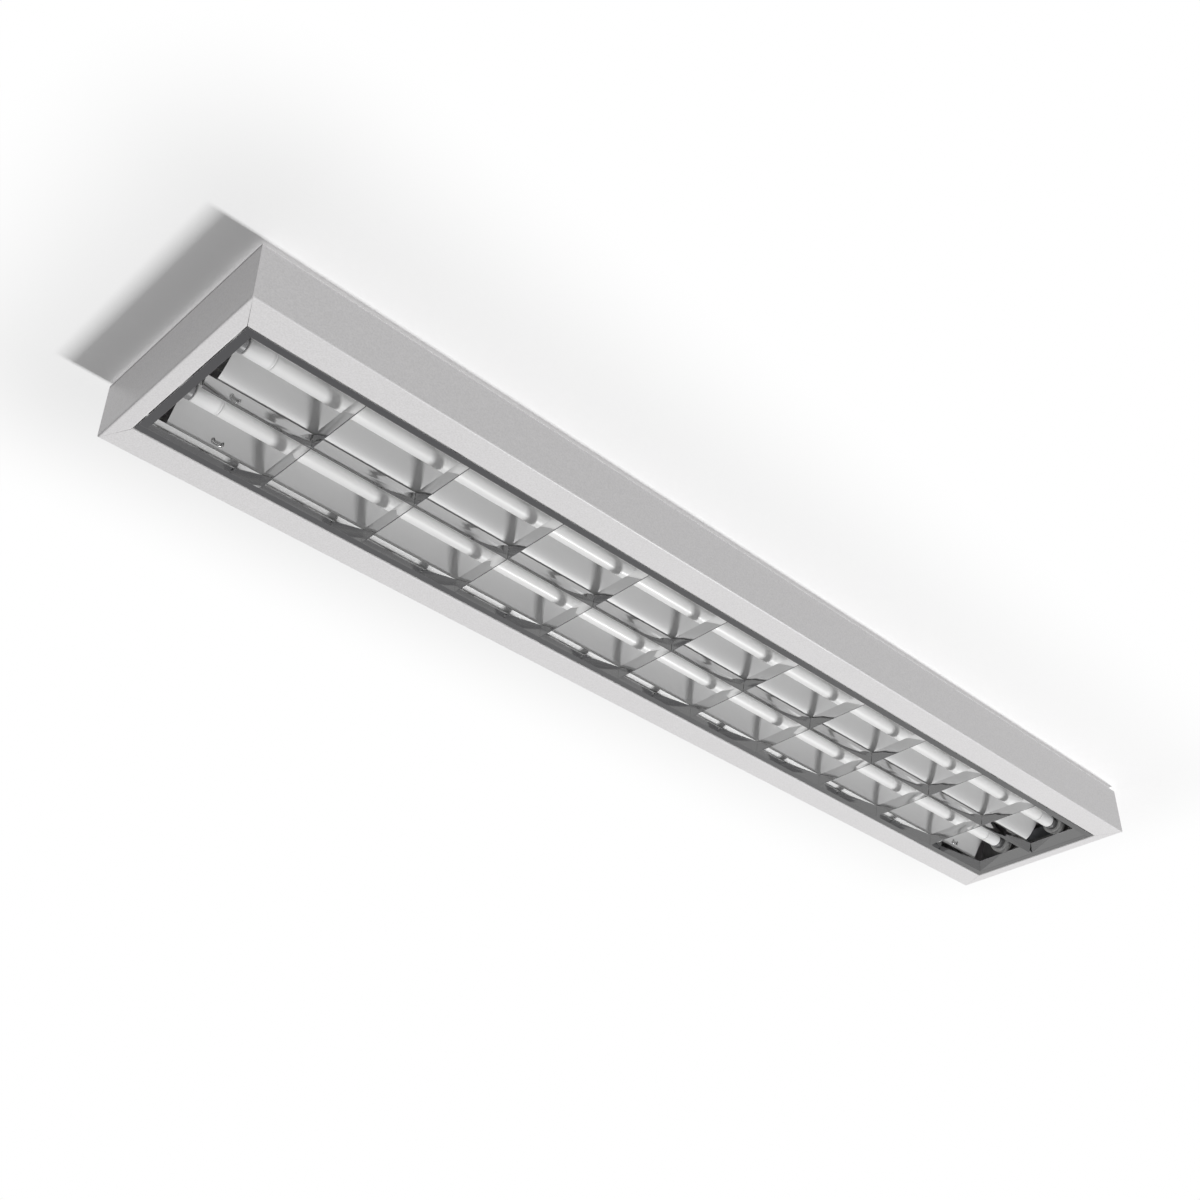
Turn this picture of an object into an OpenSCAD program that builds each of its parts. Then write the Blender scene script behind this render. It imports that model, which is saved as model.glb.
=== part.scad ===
// Surface mounted fluorescent fixture with two tubular lamps and a cross-blade louvre.
// X runs along the lamps, Y across them and Z up. The ceiling face is the plane z = 0.

/* [Lamps] */
// Length of a lamp between its cap faces
lamp_length = 1149; // [849:1:1449]
// Diameter of a lamp
lamp_dia = 16; // [15:0.5:16.5]
// Distance between the two lamp axes
lamp_spacing = 74.5; // [73:0.5:77]
// Depth of the lamp axes below the ceiling face
lamp_drop = 28; // [27.5:0.5:29]
// Length of a lamp cap
cap_length = 25; // [18:1:30]
// Distance between the two pins of a cap
pin_spacing = 4.75; // [4.5:0.05:5]
// Diameter of a lamp pin
pin_dia = 2.4; // [2:0.1:2.6]
// Length of a lamp pin
pin_length = 7; // [6:0.1:7.4]

/* [Housing] */
// Space from a cap face to the outside of the end wall
end_space = 38; // [37:0.5:60]
// Overall width of the housing
body_width = 220; // [218:1:230]
// Depth of the housing below the ceiling face
body_depth = 55; // [54.5:0.5:60]
// Thickness of the housing sheet
sheet = 0.8; // [0.6:0.1:1]
// Width of the rim along each long side
side_rim = 29.5; // [28.5:0.5:30.5]
// Width of the rim across each end
end_rim = 14.8; // [14:0.1:15.5]
// Height of the lip round the light opening
rim_lip = 7; // [6:0.5:7.5]
// Outside radius of the bends in the sheet
bend_radius = 1.6; // [1.2:0.1:2]
// Open joint where two sheets meet
seam = 0.3; // [0.15:0.05:0.4]
// Depth of the stiffening grooves in the back
groove_depth = 1.6; // [1:0.1:2]
// Distance from the end of the housing to the end of a stiffening groove
groove_margin = 50; // [45:1:90]
// Flat length between two stiffening grooves in line
groove_land = 40; // [20:5:100]
// Width of the stiffening grooves in the back
groove_width = 12; // [9:1:14]
// Distance of each stiffening groove from the middle
groove_offset = 57; // [56:1:58]

/* [Fixing] */
// Distance between the fixing slots along the housing
fixing_span = 800; // [600:10:840]
// Distance between the fixing slots across the housing
fixing_width = 150; // [144:1:156]
// Width of a fixing slot
slot_width = 5.5; // [5:0.5:6.5]
// Length of a fixing slot from end to end
slot_length = 14; // [10:1:18]
// Diameter of the cable entry hole in the back
entry_dia = 20; // [18:0.5:21]
// Diameter of the cable that the grommet takes
cable_dia = 10; // [8:0.5:11]
// Distance of the cable entry from the middle of the housing
entry_offset = 160; // [155:1:200]

/* [Louvre] */
// Height of the louvre profiles and blades
louvre_height = 11.5; // [10:0.5:12]
// Half the width of the middle profile at its top
vee_half_width = 4; // [3:0.1:4.5]
// Half the width of a cross blade at its top
blade_half_width = 2; // [1.8:0.1:3]
// Thickness of the louvre sheet
louvre_sheet = 0.5; // [0.3:0.1:0.6]
// Width of the flange along each long side of the louvre
side_flange = 6.8; // [6.5:0.1:7.5]
// Width of the flange across each end of the louvre
end_flange = 7.9; // [7.5:0.1:9]
// Open joint between the louvre and the rim
louvre_gap = 0.7; // [0.6:0.1:0.8]
// Depth of the louvre face inside the rim face
louvre_recess = 0.5; // [0.4:0.1:0.8]
// Diameter of the hinge pins
hinge_dia = 1.6; // [1.4:0.1:1.8]

/* [Reflector] */
// Thickness of the reflector sheet
reflector_sheet = 0.5; // [0.4:0.1:0.6]
// Depth of the reflector above each lamp
trough_drop = 12.5; // [12:0.5:13.5]
// Depth of the reflector's ridge between the lamps
ridge_drop = 42; // [41:0.25:42.25]
// Depth of the reflector's outer edges
edge_drop = 41; // [40:0.25:41.25]
// Distance from the reflector's outer edge to the side wall
edge_space = 40; // [39:0.5:41]
// Length of the lip down each outer edge
edge_lip = 1; // [0.5:0.25:1.25]
// Reach of the reflector past the cap faces
reflector_reach = 1; // [0.5:0.5:2]

/* [Ballast] */
// Length of the ballast with its feet
ballast_length = 360; // [350:1:370]
// Width of the ballast
ballast_width = 30; // [28:0.5:30]
// Height of the ballast
ballast_height = 21; // [20:0.5:21.5]
// Distance from the middle of the housing to the ballast's end beside the mains terminals
ballast_end = 30; // [20:1:34]

/* [Hidden] */

// Facets of a full circle
$fn = 32;
// Facets in a quarter bend
bend_steps = 3;
// Overrun of every cut past the face it opens
over = 1;
// Clearance where one fixed piece sits beside another
fit = 0.1;
// Radial clearance of a turning piece in its bore
running = 0.05;
// Clearance between pieces that move apart
clear = 0.4;

body_length = lamp_length + 2 * end_space;
half_length = body_length / 2;
half_width = body_width / 2;
rim_inner_x = half_length - end_rim;
rim_inner_y = half_width - side_rim;
cap_face = lamp_length / 2;
lamp_radius = lamp_dia / 2;
lamp_y = lamp_spacing / 2;
ends = [-1, 1];
ballast_offset = ballast_end - ballast_length / 2;

function backwards(list) = [for (i = [len(list) - 1:-1:0]) list[i]];
function mirrored(points) =
    concat(points, [for (p = backwards(points)) if (p[0] != 0) [-p[0], p[1]]]);
function arc(centre, radius, from, to, steps) = [for (i = [0:steps])
    let (angle = from + (to - from) * i / steps) centre + radius * [cos(angle), sin(angle)]];

// Outline of a sheet of even thickness that follows a line of points
function heading(a, b) = (b - a) / norm(b - a);
function left_of(v) = [-v[1], v[0]];
function line_normal(line, i) = i == 0 ? left_of(heading(line[0], line[1]))
    : i == len(line) - 1 ? left_of(heading(line[i - 1], line[i]))
    : let (a = left_of(heading(line[i - 1], line[i])), b = left_of(heading(line[i], line[i + 1])))
        (a + b) / (1 + a * b);
function shifted(line, distance) =
    [for (i = [0:len(line) - 1]) line[i] + distance * line_normal(line, i)];
function strip(line, thickness) =
    concat(shifted(line, thickness / 2), backwards(shifted(line, -thickness / 2)));

// Solid whose section lies in Y and Z, running along X
module along_x(length) {
    rotate([90, 0, 90]) linear_extrude(length, center = true) children();
}

// Solid whose section lies in X and Z, running along Y
module along_y(length) {
    rotate([90, 0, 0]) linear_extrude(length, center = true) children();
}

// Block given by its lowest and highest corners
module block(low, high) {
    translate(low) cube(high - low);
}

// Rod along X from one place to another
module rod_x(from, to, y, z, radius) {
    translate([from, y, z]) rotate([0, 90, 0]) cylinder(h = to - from, r = radius);
}

module both_ends() {
    children();
    mirror([1, 0, 0]) children();
}

module both_sides() {
    children();
    mirror([0, 1, 0]) children();
}

// Housing tray: back, long sides and long rims folded from one sheet
inner_bend = bend_radius - sheet;
groove_half = groove_width / 2;
groove_low = groove_depth + sheet;
lip_top = rim_lip - body_depth;
upper_bend_y = half_width - bend_radius;
lower_bend_z = bend_radius - body_depth;
mitre_slope = end_rim / side_rim;
function mitre_x(y) = half_length - mitre_slope * (half_width - y) - seam;
rim_end_y = half_width - sheet - seam;

groove_slant = sheet * sqrt(2);
groove_end = half_length - groove_margin;
groove_run = groove_end - groove_land / 2;
groove_middle = (groove_end + groove_land / 2) / 2;
function groove_section(grow, low, high) = [
    [-groove_half - grow - high, high], [groove_half + grow + high, high],
    [groove_half + grow + low, low], [-groove_half - grow - low, low]];
tray_outer = concat(
    arc([upper_bend_y, -bend_radius], bend_radius, 90, 0, bend_steps),
    arc([upper_bend_y, lower_bend_z], bend_radius, 0, -90, bend_steps),
    arc([rim_inner_y + bend_radius, lower_bend_z], bend_radius, 270, 180, bend_steps),
    [[rim_inner_y, lip_top], [rim_inner_y + sheet, lip_top]]);
tray_inner = concat(
    arc([rim_inner_y + bend_radius, lower_bend_z], inner_bend, 180, 270, bend_steps),
    arc([upper_bend_y, lower_bend_z], inner_bend, -90, 0, bend_steps),
    arc([upper_bend_y, -bend_radius], inner_bend, 0, 90, bend_steps));

// Rivets, screws and the earth stud that reach the back plate
rivet_radius = 1.6;
rivet_inset = 7;
rivet_spread = 30;
rivet_places = [for (side = [-1:1]) [half_length - rivet_inset, side * rivet_spread]];
foot_length = 10;
clamp_back = 30;
clamp_spread = 11.5;
block_back = 72;
ear_reach = 17;
stud_back = 105;
clamp_x = entry_offset - clamp_back;
block_x = entry_offset - block_back;
stud_x = entry_offset - stud_back;
stud_radius = 2;
screw_radius = 1.9;
screw_places = [[ballast_offset - (ballast_length - foot_length) / 2, 0],
    [ballast_offset + (ballast_length - foot_length) / 2, 0], [block_x + ear_reach, 0],
    [clamp_x, clamp_spread], [clamp_x, -clamp_spread]];

module back_hole(place, radius) {
    translate([place[0], place[1], -sheet - over]) cylinder(h = sheet + 2 * over, r = radius);
}

module fixing_slot() {
    half_run = (slot_length - slot_width) / 2;
    for (side = ends)
        translate([side * half_run, 0, -sheet - over]) cylinder(h = sheet + 2 * over, d = slot_width);
    block([-half_run, -slot_width / 2, -sheet - over], [half_run, slot_width / 2, over]);
}

module grooves(past, grow, low, high) {
    both_ends() both_sides() translate([groove_middle, groove_offset, 0])
        along_x(groove_run + 2 * past) polygon(groove_section(grow, low, high));
}

module housing_tray() {
    color("gainsboro") difference() {
        union() {
            along_x(body_length) polygon(mirrored(concat(tray_outer, tray_inner)));
            grooves(sheet, groove_slant, -groove_low, -sheet / 2);
        }
        grooves(0, 0, -groove_depth, over);
        both_ends() both_sides() translate([0, 0, -body_depth - over]) linear_extrude(rim_lip + 2 * over)
            polygon([[mitre_x(rim_inner_y - over), rim_inner_y - over], [mitre_x(rim_end_y), rim_end_y],
                [half_length + over, rim_end_y], [half_length + over, rim_inner_y - over]]);
        for (side_x = ends, side_y = ends)
            translate([side_x * fixing_span / 2, side_y * fixing_width / 2, 0]) fixing_slot();
        back_hole([entry_offset, 0], entry_dia / 2);
        back_hole([stud_x, 0], stud_radius + running);
        for (place = screw_places)
            back_hole(place, screw_radius + running);
        both_ends() for (place = rivet_places)
            back_hole(place, rivet_radius + running);
    }
}

// End walls, each folded from one sheet with its own mitred rim
top_flange = 14;
flange_x = half_length - top_flange;
wall_top = -sheet - seam;
end_bend_x = half_length - bend_radius;
wall_section = concat(
    [[flange_x, wall_top - sheet], [flange_x, wall_top]],
    arc([end_bend_x, wall_top - bend_radius], bend_radius, 90, 0, bend_steps),
    arc([end_bend_x, lower_bend_z], bend_radius, 0, -90, bend_steps),
    arc([rim_inner_x + bend_radius, lower_bend_z], bend_radius, 270, 180, bend_steps),
    [[rim_inner_x, lip_top], [rim_inner_x + sheet, lip_top]],
    arc([rim_inner_x + bend_radius, lower_bend_z], inner_bend, 180, 270, bend_steps),
    arc([end_bend_x, lower_bend_z], inner_bend, -90, 0, bend_steps),
    arc([end_bend_x, wall_top - bend_radius], inner_bend, 0, 90, bend_steps));
rim_plan = [[rim_inner_x - over, -rim_inner_y + seam], [rim_inner_x - over, rim_inner_y - seam],
    [rim_inner_x, rim_inner_y - seam], [half_length - sheet, rim_end_y],
    [half_length + over, rim_end_y], [half_length + over, -rim_end_y],
    [half_length - sheet, -rim_end_y], [rim_inner_x, -rim_inner_y + seam]];

module end_wall() {
    color("gainsboro") difference() {
        intersection() {
            along_y(body_width) polygon(wall_section);
            union() {
                block([flange_x - over, -rim_end_y, lip_top],
                    [half_length + over, rim_end_y, -bend_radius]);
                block([flange_x - over, fit - upper_bend_y, lip_top],
                    [half_length + over, upper_bend_y - fit, 0]);
                translate([0, 0, -body_depth - over]) linear_extrude(rim_lip + over) polygon(rim_plan);
            }
        }
        for (place = rivet_places)
            translate([place[0], place[1], wall_top - sheet - over])
                cylinder(h = sheet + 2 * over, r = rivet_radius + running);
        rod_x(rim_inner_x - over, rim_inner_x + sheet + over, hinge_y, hinge_z, hinge_dia / 2 + running);
    }
}

rivet_head_radius = 3;
rivet_head = 1;
rivet_low = wall_top - sheet - rivet_head;

module end_wall_rivets() {
    color("silver") both_ends() for (place = rivet_places) translate([place[0], place[1], rivet_low]) {
        cylinder(h = -rivet_low, r = rivet_radius);
        cylinder(h = rivet_head, r = rivet_head_radius);
    }
}

// Reflector: one sheet that rises over each lamp and falls to a ridge and two outer edges
reflector_half = half_width - edge_space;
reflector_end = cap_face + reflector_reach;
trough_shift = 3;
trough_y = lamp_y + trough_shift;
flank_width = reflector_half - trough_y;
trough_steps = 14;
flank_steps = 18;
flank_power = 1.6;

function reflector_z(y) = y < trough_y
    ? -ridge_drop + (ridge_drop - trough_drop) * (1 - cos(180 * y / trough_y)) / 2
    : -trough_drop - (edge_drop - trough_drop) * pow((y - trough_y) / flank_width, flank_power);
reflector_line = concat(
    [for (i = [0:trough_steps]) let (y = trough_y * i / trough_steps) [y, reflector_z(y)]],
    [for (i = [1:flank_steps]) let (y = trough_y + flank_width * i / flank_steps) [y, reflector_z(y)]]);
function raised(line, rise) = [for (p = line) p + [0, rise]];

clip_end = 45.5;
clip_edge = 3;
clip_span = 9;
clip_wire = 0.8;
clip_stand = 1.4;
clip_room = 0.6;
clip_x = reflector_end - clip_end;
clip_y = reflector_half - clip_edge;
clip_low = reflector_z(clip_y + clip_wire) - clip_stand;

module reflector_pan() {
    lip_x = reflector_half + reflector_sheet;
    lip_low = -edge_drop - edge_lip;
    lip = [[reflector_half, lip_low], [lip_x, lip_low], [lip_x, reflector_sheet - edge_drop]];
    outline = concat(reflector_line, lip, backwards(raised(reflector_line, reflector_sheet)));
    color("silver") difference() {
        along_x(2 * reflector_end) polygon(mirrored(outline));
        both_ends() both_sides() for (side = ends)
            translate([clip_x + side * clip_span / 2, clip_y, -edge_drop])
                cylinder(h = edge_drop - trough_drop, r = clip_wire + clip_room);
    }
}

// Bridges under the back that carry the reflector, and the wire staples that hold it up
bridge_sheet = 1;
bridge_inset = 1;
bridge_foot = 12;
bridge_top = -sheet - fit;
window_half = 25;
window_low = 13;
shelf_drop = 11;
shelf_half = 6;
shelf_width = 8;
bridge_x = clip_x - clip_span / 2 - shelf_half;
bridge_half = reflector_half - bridge_inset;
bridge_rise = reflector_sheet + fit;
bridge_line = concat(
    raised([for (p = reflector_line) if (p[0] > 0 && p[0] < bridge_half) p], bridge_rise),
    [[bridge_half, reflector_z(bridge_half) + bridge_rise], [bridge_half, bridge_top]]);

module groove_gap(from, to) {
    for (side = ends)
        block([from, side * groove_offset - groove_half - groove_slant - fit, -groove_low - fit],
            [to, side * groove_offset + groove_half + groove_slant + fit, 0]);
}

module reflector_bridge() {
    difference() {
        union() {
            translate([bridge_x, 0, 0]) along_x(bridge_sheet) polygon(mirrored(bridge_line));
            block([bridge_x, -bridge_half, bridge_top - bridge_sheet],
                [bridge_x + bridge_foot, bridge_half, bridge_top]);
            both_sides() block([bridge_x, clip_y - shelf_width / 2, -shelf_drop - bridge_sheet],
                [clip_x + clip_span / 2 + shelf_half, clip_y + shelf_width / 2, -shelf_drop]);
        }
        block([bridge_x - over, -window_half, -window_low],
            [bridge_x + bridge_foot + over, window_half, over]);
        groove_gap(bridge_x - over, bridge_x + bridge_foot + over);
        both_sides() for (side = ends)
            translate([clip_x + side * clip_span / 2, clip_y, -shelf_drop - bridge_sheet - over])
                cylinder(h = bridge_sheet + 2 * over, r = clip_wire + running);
    }
}

module reflector_bridges() {
    color("lightgray") both_ends() reflector_bridge();
}

module reflector_clip() {
    for (side = ends) translate([clip_x + side * clip_span / 2, clip_y, clip_low]) {
        cylinder(h = over - shelf_drop - clip_low, r = clip_wire);
        sphere(r = clip_wire);
    }
    rod_x(clip_x - clip_span / 2, clip_x + clip_span / 2, clip_y, clip_low, clip_wire);
}

module reflector_clips() {
    color("whitesmoke") both_ends() both_sides() reflector_clip();
}

// Louvre sizes that other pieces follow
louvre_bottom = louvre_recess - body_depth;
louvre_top = louvre_bottom + louvre_height;
fold_half = louvre_sheet / 2;
arm_slope = (vee_half_width - fold_half) / louvre_height;
arm_wall = louvre_sheet * norm([1, arm_slope]);
side_outer_y = rim_inner_y - louvre_gap;
side_inner_y = side_outer_y - side_flange;
end_outer_x = rim_inner_x - louvre_gap;
end_inner_x = end_outer_x - end_flange;
hinge_edge = 3;
hinge_y = side_outer_y - hinge_edge;
hinge_z = louvre_bottom + louvre_sheet + hinge_dia / 2 + fit;

// Slanted reflectors across the ends, behind the lampholders
shade_low = louvre_top + louvre_gap;
shade_inset = 4;
shade_drop = 14;
shade_lip = 8;
shade_slope = 0.325;
shade_x = end_inner_x + shade_inset;
shade_top_x = shade_x + shade_slope * (-shade_drop - shade_low);
shade_wall_x = half_length - sheet - fit - reflector_sheet / 2;
shade_line = [[shade_x, shade_low], [shade_top_x, -shade_drop],
    [shade_wall_x, -shade_drop], [shade_wall_x, shade_lip - shade_drop]];

module end_reflector() {
    color("darkgray") along_y(2 * reflector_half) polygon(strip(shade_line, reflector_sheet));
}

// Lampholders with turning rotors, on brackets under the back
holder_gap = 1;
rotor_nose = 8;
holder_depth = 9.5;
holder_half = 12;
bracket_drop = 8;
bracket_sheet = 0.8;
bracket_edge = 2;
hook_width = 8;
hook_sheet = 2;
hook_inset = 2.4;
hook_height = 3;
rotor_depth = 5;
rotor_radius = 8;
rotor_end_gap = 0.3;
rotor_x = cap_face + holder_gap;
holder_x = rotor_x + rotor_nose;
holder_end = holder_x + holder_depth;
holder_top = -bracket_drop - fit;
wire_bore = 1.3;
wire_inset = 2.8;
wire_drop = 14;
wire_bore_depth = 5;

module hook_places(room) {
    for (x = [holder_x + hook_inset, holder_end - hook_inset])
        block([x - hook_sheet / 2 - room, -hook_width / 2 - room, holder_top - room],
            [x + hook_sheet / 2 + room, hook_width / 2 + room, hook_height - bracket_drop + room]);
}

module lampholder_bracket() {
    from = holder_x - bracket_edge;
    to = holder_end + bracket_edge;
    half = lamp_y + holder_half + bracket_edge;
    difference() {
        block([from, -half, -bracket_drop], [to, half, bridge_top]);
        block([from + bracket_sheet, -half - over, bracket_sheet - bracket_drop],
            [to - bracket_sheet, half + over, 0]);
        for (side = ends)
            translate([0, side * lamp_y, 0]) hook_places(fit);
    }
}

module lampholder_brackets() {
    color("lightgray") both_ends() lampholder_bracket();
}

module lampholder(side) {
    color("whitesmoke") translate([0, side * lamp_y, 0]) difference() {
        union() {
            translate([holder_x + holder_depth / 2, 0, 0]) along_x(holder_depth) union() {
                translate([0, -lamp_drop]) circle(r = holder_half);
                translate([-holder_half, -lamp_drop]) square([2 * holder_half, lamp_drop + holder_top]);
            }
            hook_places(0);
        }
        rod_x(holder_x - over, holder_x + rotor_depth, 0, -lamp_drop, rotor_radius + running);
        for (x = [holder_x + wire_inset, holder_end - wire_inset])
            translate([x, -side * holder_half, -wire_drop]) rotate([side * 90, 0, 0])
                translate([0, 0, -wire_bore_depth]) cylinder(h = wire_bore_depth + over, r = wire_bore);
    }
}

module rotor(side) {
    color("white") translate([0, side * lamp_y, -lamp_drop]) difference() {
        rod_x(rotor_x, holder_x + rotor_depth - rotor_end_gap, 0, 0, rotor_radius);
        block([rotor_x - over, -rotor_radius - over, -pin_dia / 2 - fit],
            [cap_face + pin_length + fit, rotor_radius + over, pin_dia / 2 + fit]);
    }
}

// Lamps: glass tube, pressed metal caps and contact pins
glass_wall = 0.8;
neck_step = 0.7;
neck_short = 8;
cap_wall = 0.6;
cap_seam = 0.4;
pin_inside = 3;
shoulder_x = cap_face - cap_length - cap_seam;
neck_end = cap_face - neck_short;

module lamp_tube(side) {
    neck = lamp_radius - neck_step;
    color("white") translate([0, side * lamp_y, -lamp_drop]) difference() {
        union() {
            rod_x(-shoulder_x, shoulder_x, 0, 0, lamp_radius);
            rod_x(-neck_end, neck_end, 0, 0, neck);
        }
        rod_x(glass_wall - shoulder_x, shoulder_x - glass_wall, 0, 0, lamp_radius - glass_wall);
        rod_x(glass_wall - neck_end, neck_end - glass_wall, 0, 0, neck - glass_wall);
    }
}

module lamp_caps(side) {
    color("silver") both_ends() translate([0, side * lamp_y, -lamp_drop]) difference() {
        rod_x(cap_face - cap_length, cap_face, 0, 0, lamp_radius);
        rod_x(cap_face - cap_length - over, cap_face - cap_wall, 0, 0, lamp_radius - cap_wall);
        for (y = ends)
            rod_x(cap_face - cap_wall - over, cap_face + over, y * pin_spacing / 2, 0,
                pin_dia / 2 + running);
    }
}

module lamp_pins(side) {
    color("gold") both_ends() for (y = ends)
        rod_x(cap_face - pin_inside, cap_face + pin_length, side * lamp_y + y * pin_spacing / 2,
            -lamp_drop, pin_dia / 2);
}

// Ballast: steel case and cover round a circuit board with two terminal strips
case_sheet = 0.6;
case_wall = 5;
foot_hole = 2.1;
case_top = -sheet - fit;
case_low = -sheet - ballast_height;
cover_half = ballast_width / 2 - case_sheet - fit;
ballast_from = ballast_offset - ballast_length / 2;
ballast_to = ballast_offset + ballast_length / 2;
cover_from = ballast_from + foot_length;
cover_to = ballast_to - foot_length;
board_drop = 4;
board_thick = 1.6;
board_half = 12.5;
board_inset = 6;
board_z = case_top - board_drop;
post_radius = 2;
port_half = 11.5;
port_height = 8;
strip_length = 18;
strip_out = 3;
strip_height = 7;
port_spacing = 5;
lead_radius = 0.9;

module ballast_case() {
    color("lightgray") difference() {
        block([ballast_from, -ballast_width / 2, case_top - case_wall],
            [ballast_to, ballast_width / 2, case_top]);
        block([ballast_from - over, case_sheet - ballast_width / 2, case_top - case_wall - over],
            [ballast_to + over, ballast_width / 2 - case_sheet, case_top - case_sheet]);
        for (x = [ballast_from - over, cover_to])
            block([x, -ballast_width, case_top - case_wall - over],
                [x + foot_length + over, ballast_width, case_top - case_sheet]);
        for (i = [0, 1])
            translate([screw_places[i][0], 0, case_top - case_sheet - over])
                cylinder(h = case_sheet + 2 * over, r = foot_hole);
    }
}

module ballast_cover() {
    color("white") difference() {
        block([cover_from, -cover_half, case_low], [cover_to, cover_half, case_top - case_sheet - fit]);
        block([cover_from + case_sheet, case_sheet - cover_half, case_low + case_sheet],
            [cover_to - case_sheet, cover_half - case_sheet, over]);
        block([cover_from - over, -port_half - fit, board_z - board_thick - port_height],
            [cover_to + over, port_half + fit, over]);
    }
}

choke_size = [24, 18, 11];
coil_size = [14, 14, 9];
can_radius = 4.5;
can_height = 12;
choke_share = 0.28;
coil_share = 0.5;
can_share = 0.72;
can_count = 3;
can_pitch = 12;

module ballast_board() {
    from = cover_from + board_inset;
    to = cover_to - board_inset;
    low = board_z - board_thick;
    span = to - from;
    color("darkgreen") {
        block([from, -board_half, low], [to, board_half, board_z]);
        for (x = [from + strip_length + board_inset, to - strip_length - board_inset])
            translate([x, 0, low]) cylinder(h = case_top - case_sheet - fit - low, r = post_radius);
        for (place = [[choke_share, choke_size], [coil_share, coil_size]])
            translate([from + place[0] * span, 0, low - place[1][2] / 2])
                cube(place[1] + [0, 0, fit], center = true);
        for (i = [0:can_count - 1])
            translate([from + can_share * span + i * can_pitch, 0, low - can_height])
                cylinder(h = can_height + fit, r = can_radius);
    }
}

module terminal_strip(x_out, direction, ports, rows) {
    top = board_z - board_thick - fit;
    from = min(x_out, x_out - direction * strip_length);
    bore_from = direction > 0 ? x_out - strip_length / 2 : x_out - over;
    difference() {
        block([from, -port_half + fit, top - strip_height], [from + strip_length, port_half - fit, top]);
        for (y = ports, z = rows)
            rod_x(bore_from, bore_from + strip_length / 2 + over, y, z, lead_radius + clear);
    }
}

lamp_ports = [for (i = [0:3]) (i - 1.5) * port_spacing];
mains_ports = [-port_spacing, port_spacing];
lamp_port_x = cover_from - strip_out;
mains_port_x = cover_to + strip_out;
port_z = board_z - board_thick - fit - strip_height / 2;
row_half = 1.7;

module ballast_terminals() {
    color("dimgray") {
        terminal_strip(lamp_port_x, -1, lamp_ports, [port_z - row_half, port_z + row_half]);
        terminal_strip(mains_port_x, 1, mains_ports, [port_z]);
    }
}

// Screws into the back plate
screw_head_radius = 3.6;
screw_head = 2.2;
ear_thick = 3;
strap_sheet = 1.2;

module gear_screw(place, under) {
    translate([place[0], place[1], 0]) {
        translate([0, 0, under - fit]) cylinder(h = fit - under - running, r = screw_radius);
        difference() {
            translate([0, 0, under - fit - screw_head]) cylinder(h = screw_head, r = screw_head_radius);
            for (turn = [0, 90]) rotate([0, 0, turn])
                block([-stud_radius, -clear, under - screw_head - over],
                    [stud_radius, clear, under - fit - screw_head / 2]);
        }
    }
}

module gear_screws() {
    unders = [case_top - case_sheet, case_top - case_sheet, -sheet - fit - ear_thick,
        -sheet - fit - strap_sheet, -sheet - fit - strap_sheet];
    color("silver") for (i = [0:len(screw_places) - 1])
        gear_screw(screw_places[i], unders[i]);
}

// Mains terminal block with three release buttons
block_half = [13, 14];
block_low = -17;
block_top = -sheet - fit;
pole_spacing = 8.5;
mains_bore = 1.8;
bore_depth = 9;
bore_z = -8;
button_size = [5, 4];
button_height = 6;
button_stand = 2;
button_travel = 1.5;
ear_end = 22;
ear_half = 6;
block_face = block_x - block_half[0];
block_rear = block_x + block_half[0];
button_room = button_height - button_stand + button_travel + clear;

module terminal_block() {
    color("whitesmoke") difference() {
        union() {
            block([block_x - block_half[0], -block_half[1], block_low],
                [block_x + block_half[0], block_half[1], block_top]);
            block([block_x, -ear_half, block_top - ear_thick],
                [block_x + ear_end, ear_half, block_top]);
        }
        translate([screw_places[2][0], 0, block_top - ear_thick - over])
            cylinder(h = ear_thick + 2 * over, r = screw_radius + fit);
        for (pole = [-1:1]) {
            rod_x(block_face - over, block_face + bore_depth, pole * pole_spacing, bore_z, wire_bore);
            rod_x(block_rear - bore_depth, block_rear + over, pole * pole_spacing, bore_z, mains_bore);
            translate([block_x, pole * pole_spacing, block_low])
                block([-button_size[0] / 2 - fit, -button_size[1] / 2 - fit, -over],
                    [button_size[0] / 2 + fit, button_size[1] / 2 + fit, button_room]);
        }
    }
}

module release_button(pole) {
    color("orange") translate([block_x, pole * pole_spacing, block_low - button_stand])
        block([-button_size[0] / 2, -button_size[1] / 2, 0],
            [button_size[0] / 2, button_size[1] / 2, button_height]);
}

// Cable grommet and clamp
grommet_flange = 2.5;
grommet_depth = 7;
flange_thick = 2;

module cable_grommet() {
    color("dimgray") translate([entry_offset, 0, 0]) difference() {
        union() {
            translate([0, 0, -grommet_depth]) cylinder(h = grommet_depth - fit, r = entry_dia / 2 - fit);
            translate([0, 0, -sheet - fit - flange_thick])
                cylinder(h = flange_thick, r = entry_dia / 2 + grommet_flange);
        }
        translate([0, 0, -grommet_depth - over]) cylinder(h = grommet_depth + 2 * over, r = cable_dia / 2);
    }
}

strap_length = 10;
strap_half = 15;
strap_rise = 1;
strap_steps = 10;

module cable_clamp() {
    z = -sheet - fit - strap_sheet / 2;
    radius = cable_dia / 2 + strap_rise + strap_sheet / 2;
    bow = arc([0, z - strap_rise], radius, 180, 360, strap_steps);
    line = concat([[-strap_half, z], [-radius - strap_rise, z]], bow,
        [[radius + strap_rise, z], [strap_half, z]]);
    color("silver") difference() {
        translate([clamp_x, 0, 0]) along_x(strap_length) polygon(strip(line, strap_sheet));
        for (i = [3, 4])
            translate([screw_places[i][0], screw_places[i][1], z - strap_sheet])
                cylinder(h = 2 * strap_sheet, r = screw_radius + fit);
    }
}

// Earth stud with its washer and nuts
stud_length = 14;
washer_radius = 4.5;
washer_thick = 0.8;
nut_radius = 4.04;
nut_height = 3.2;
tag_thick = 0.8;

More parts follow.
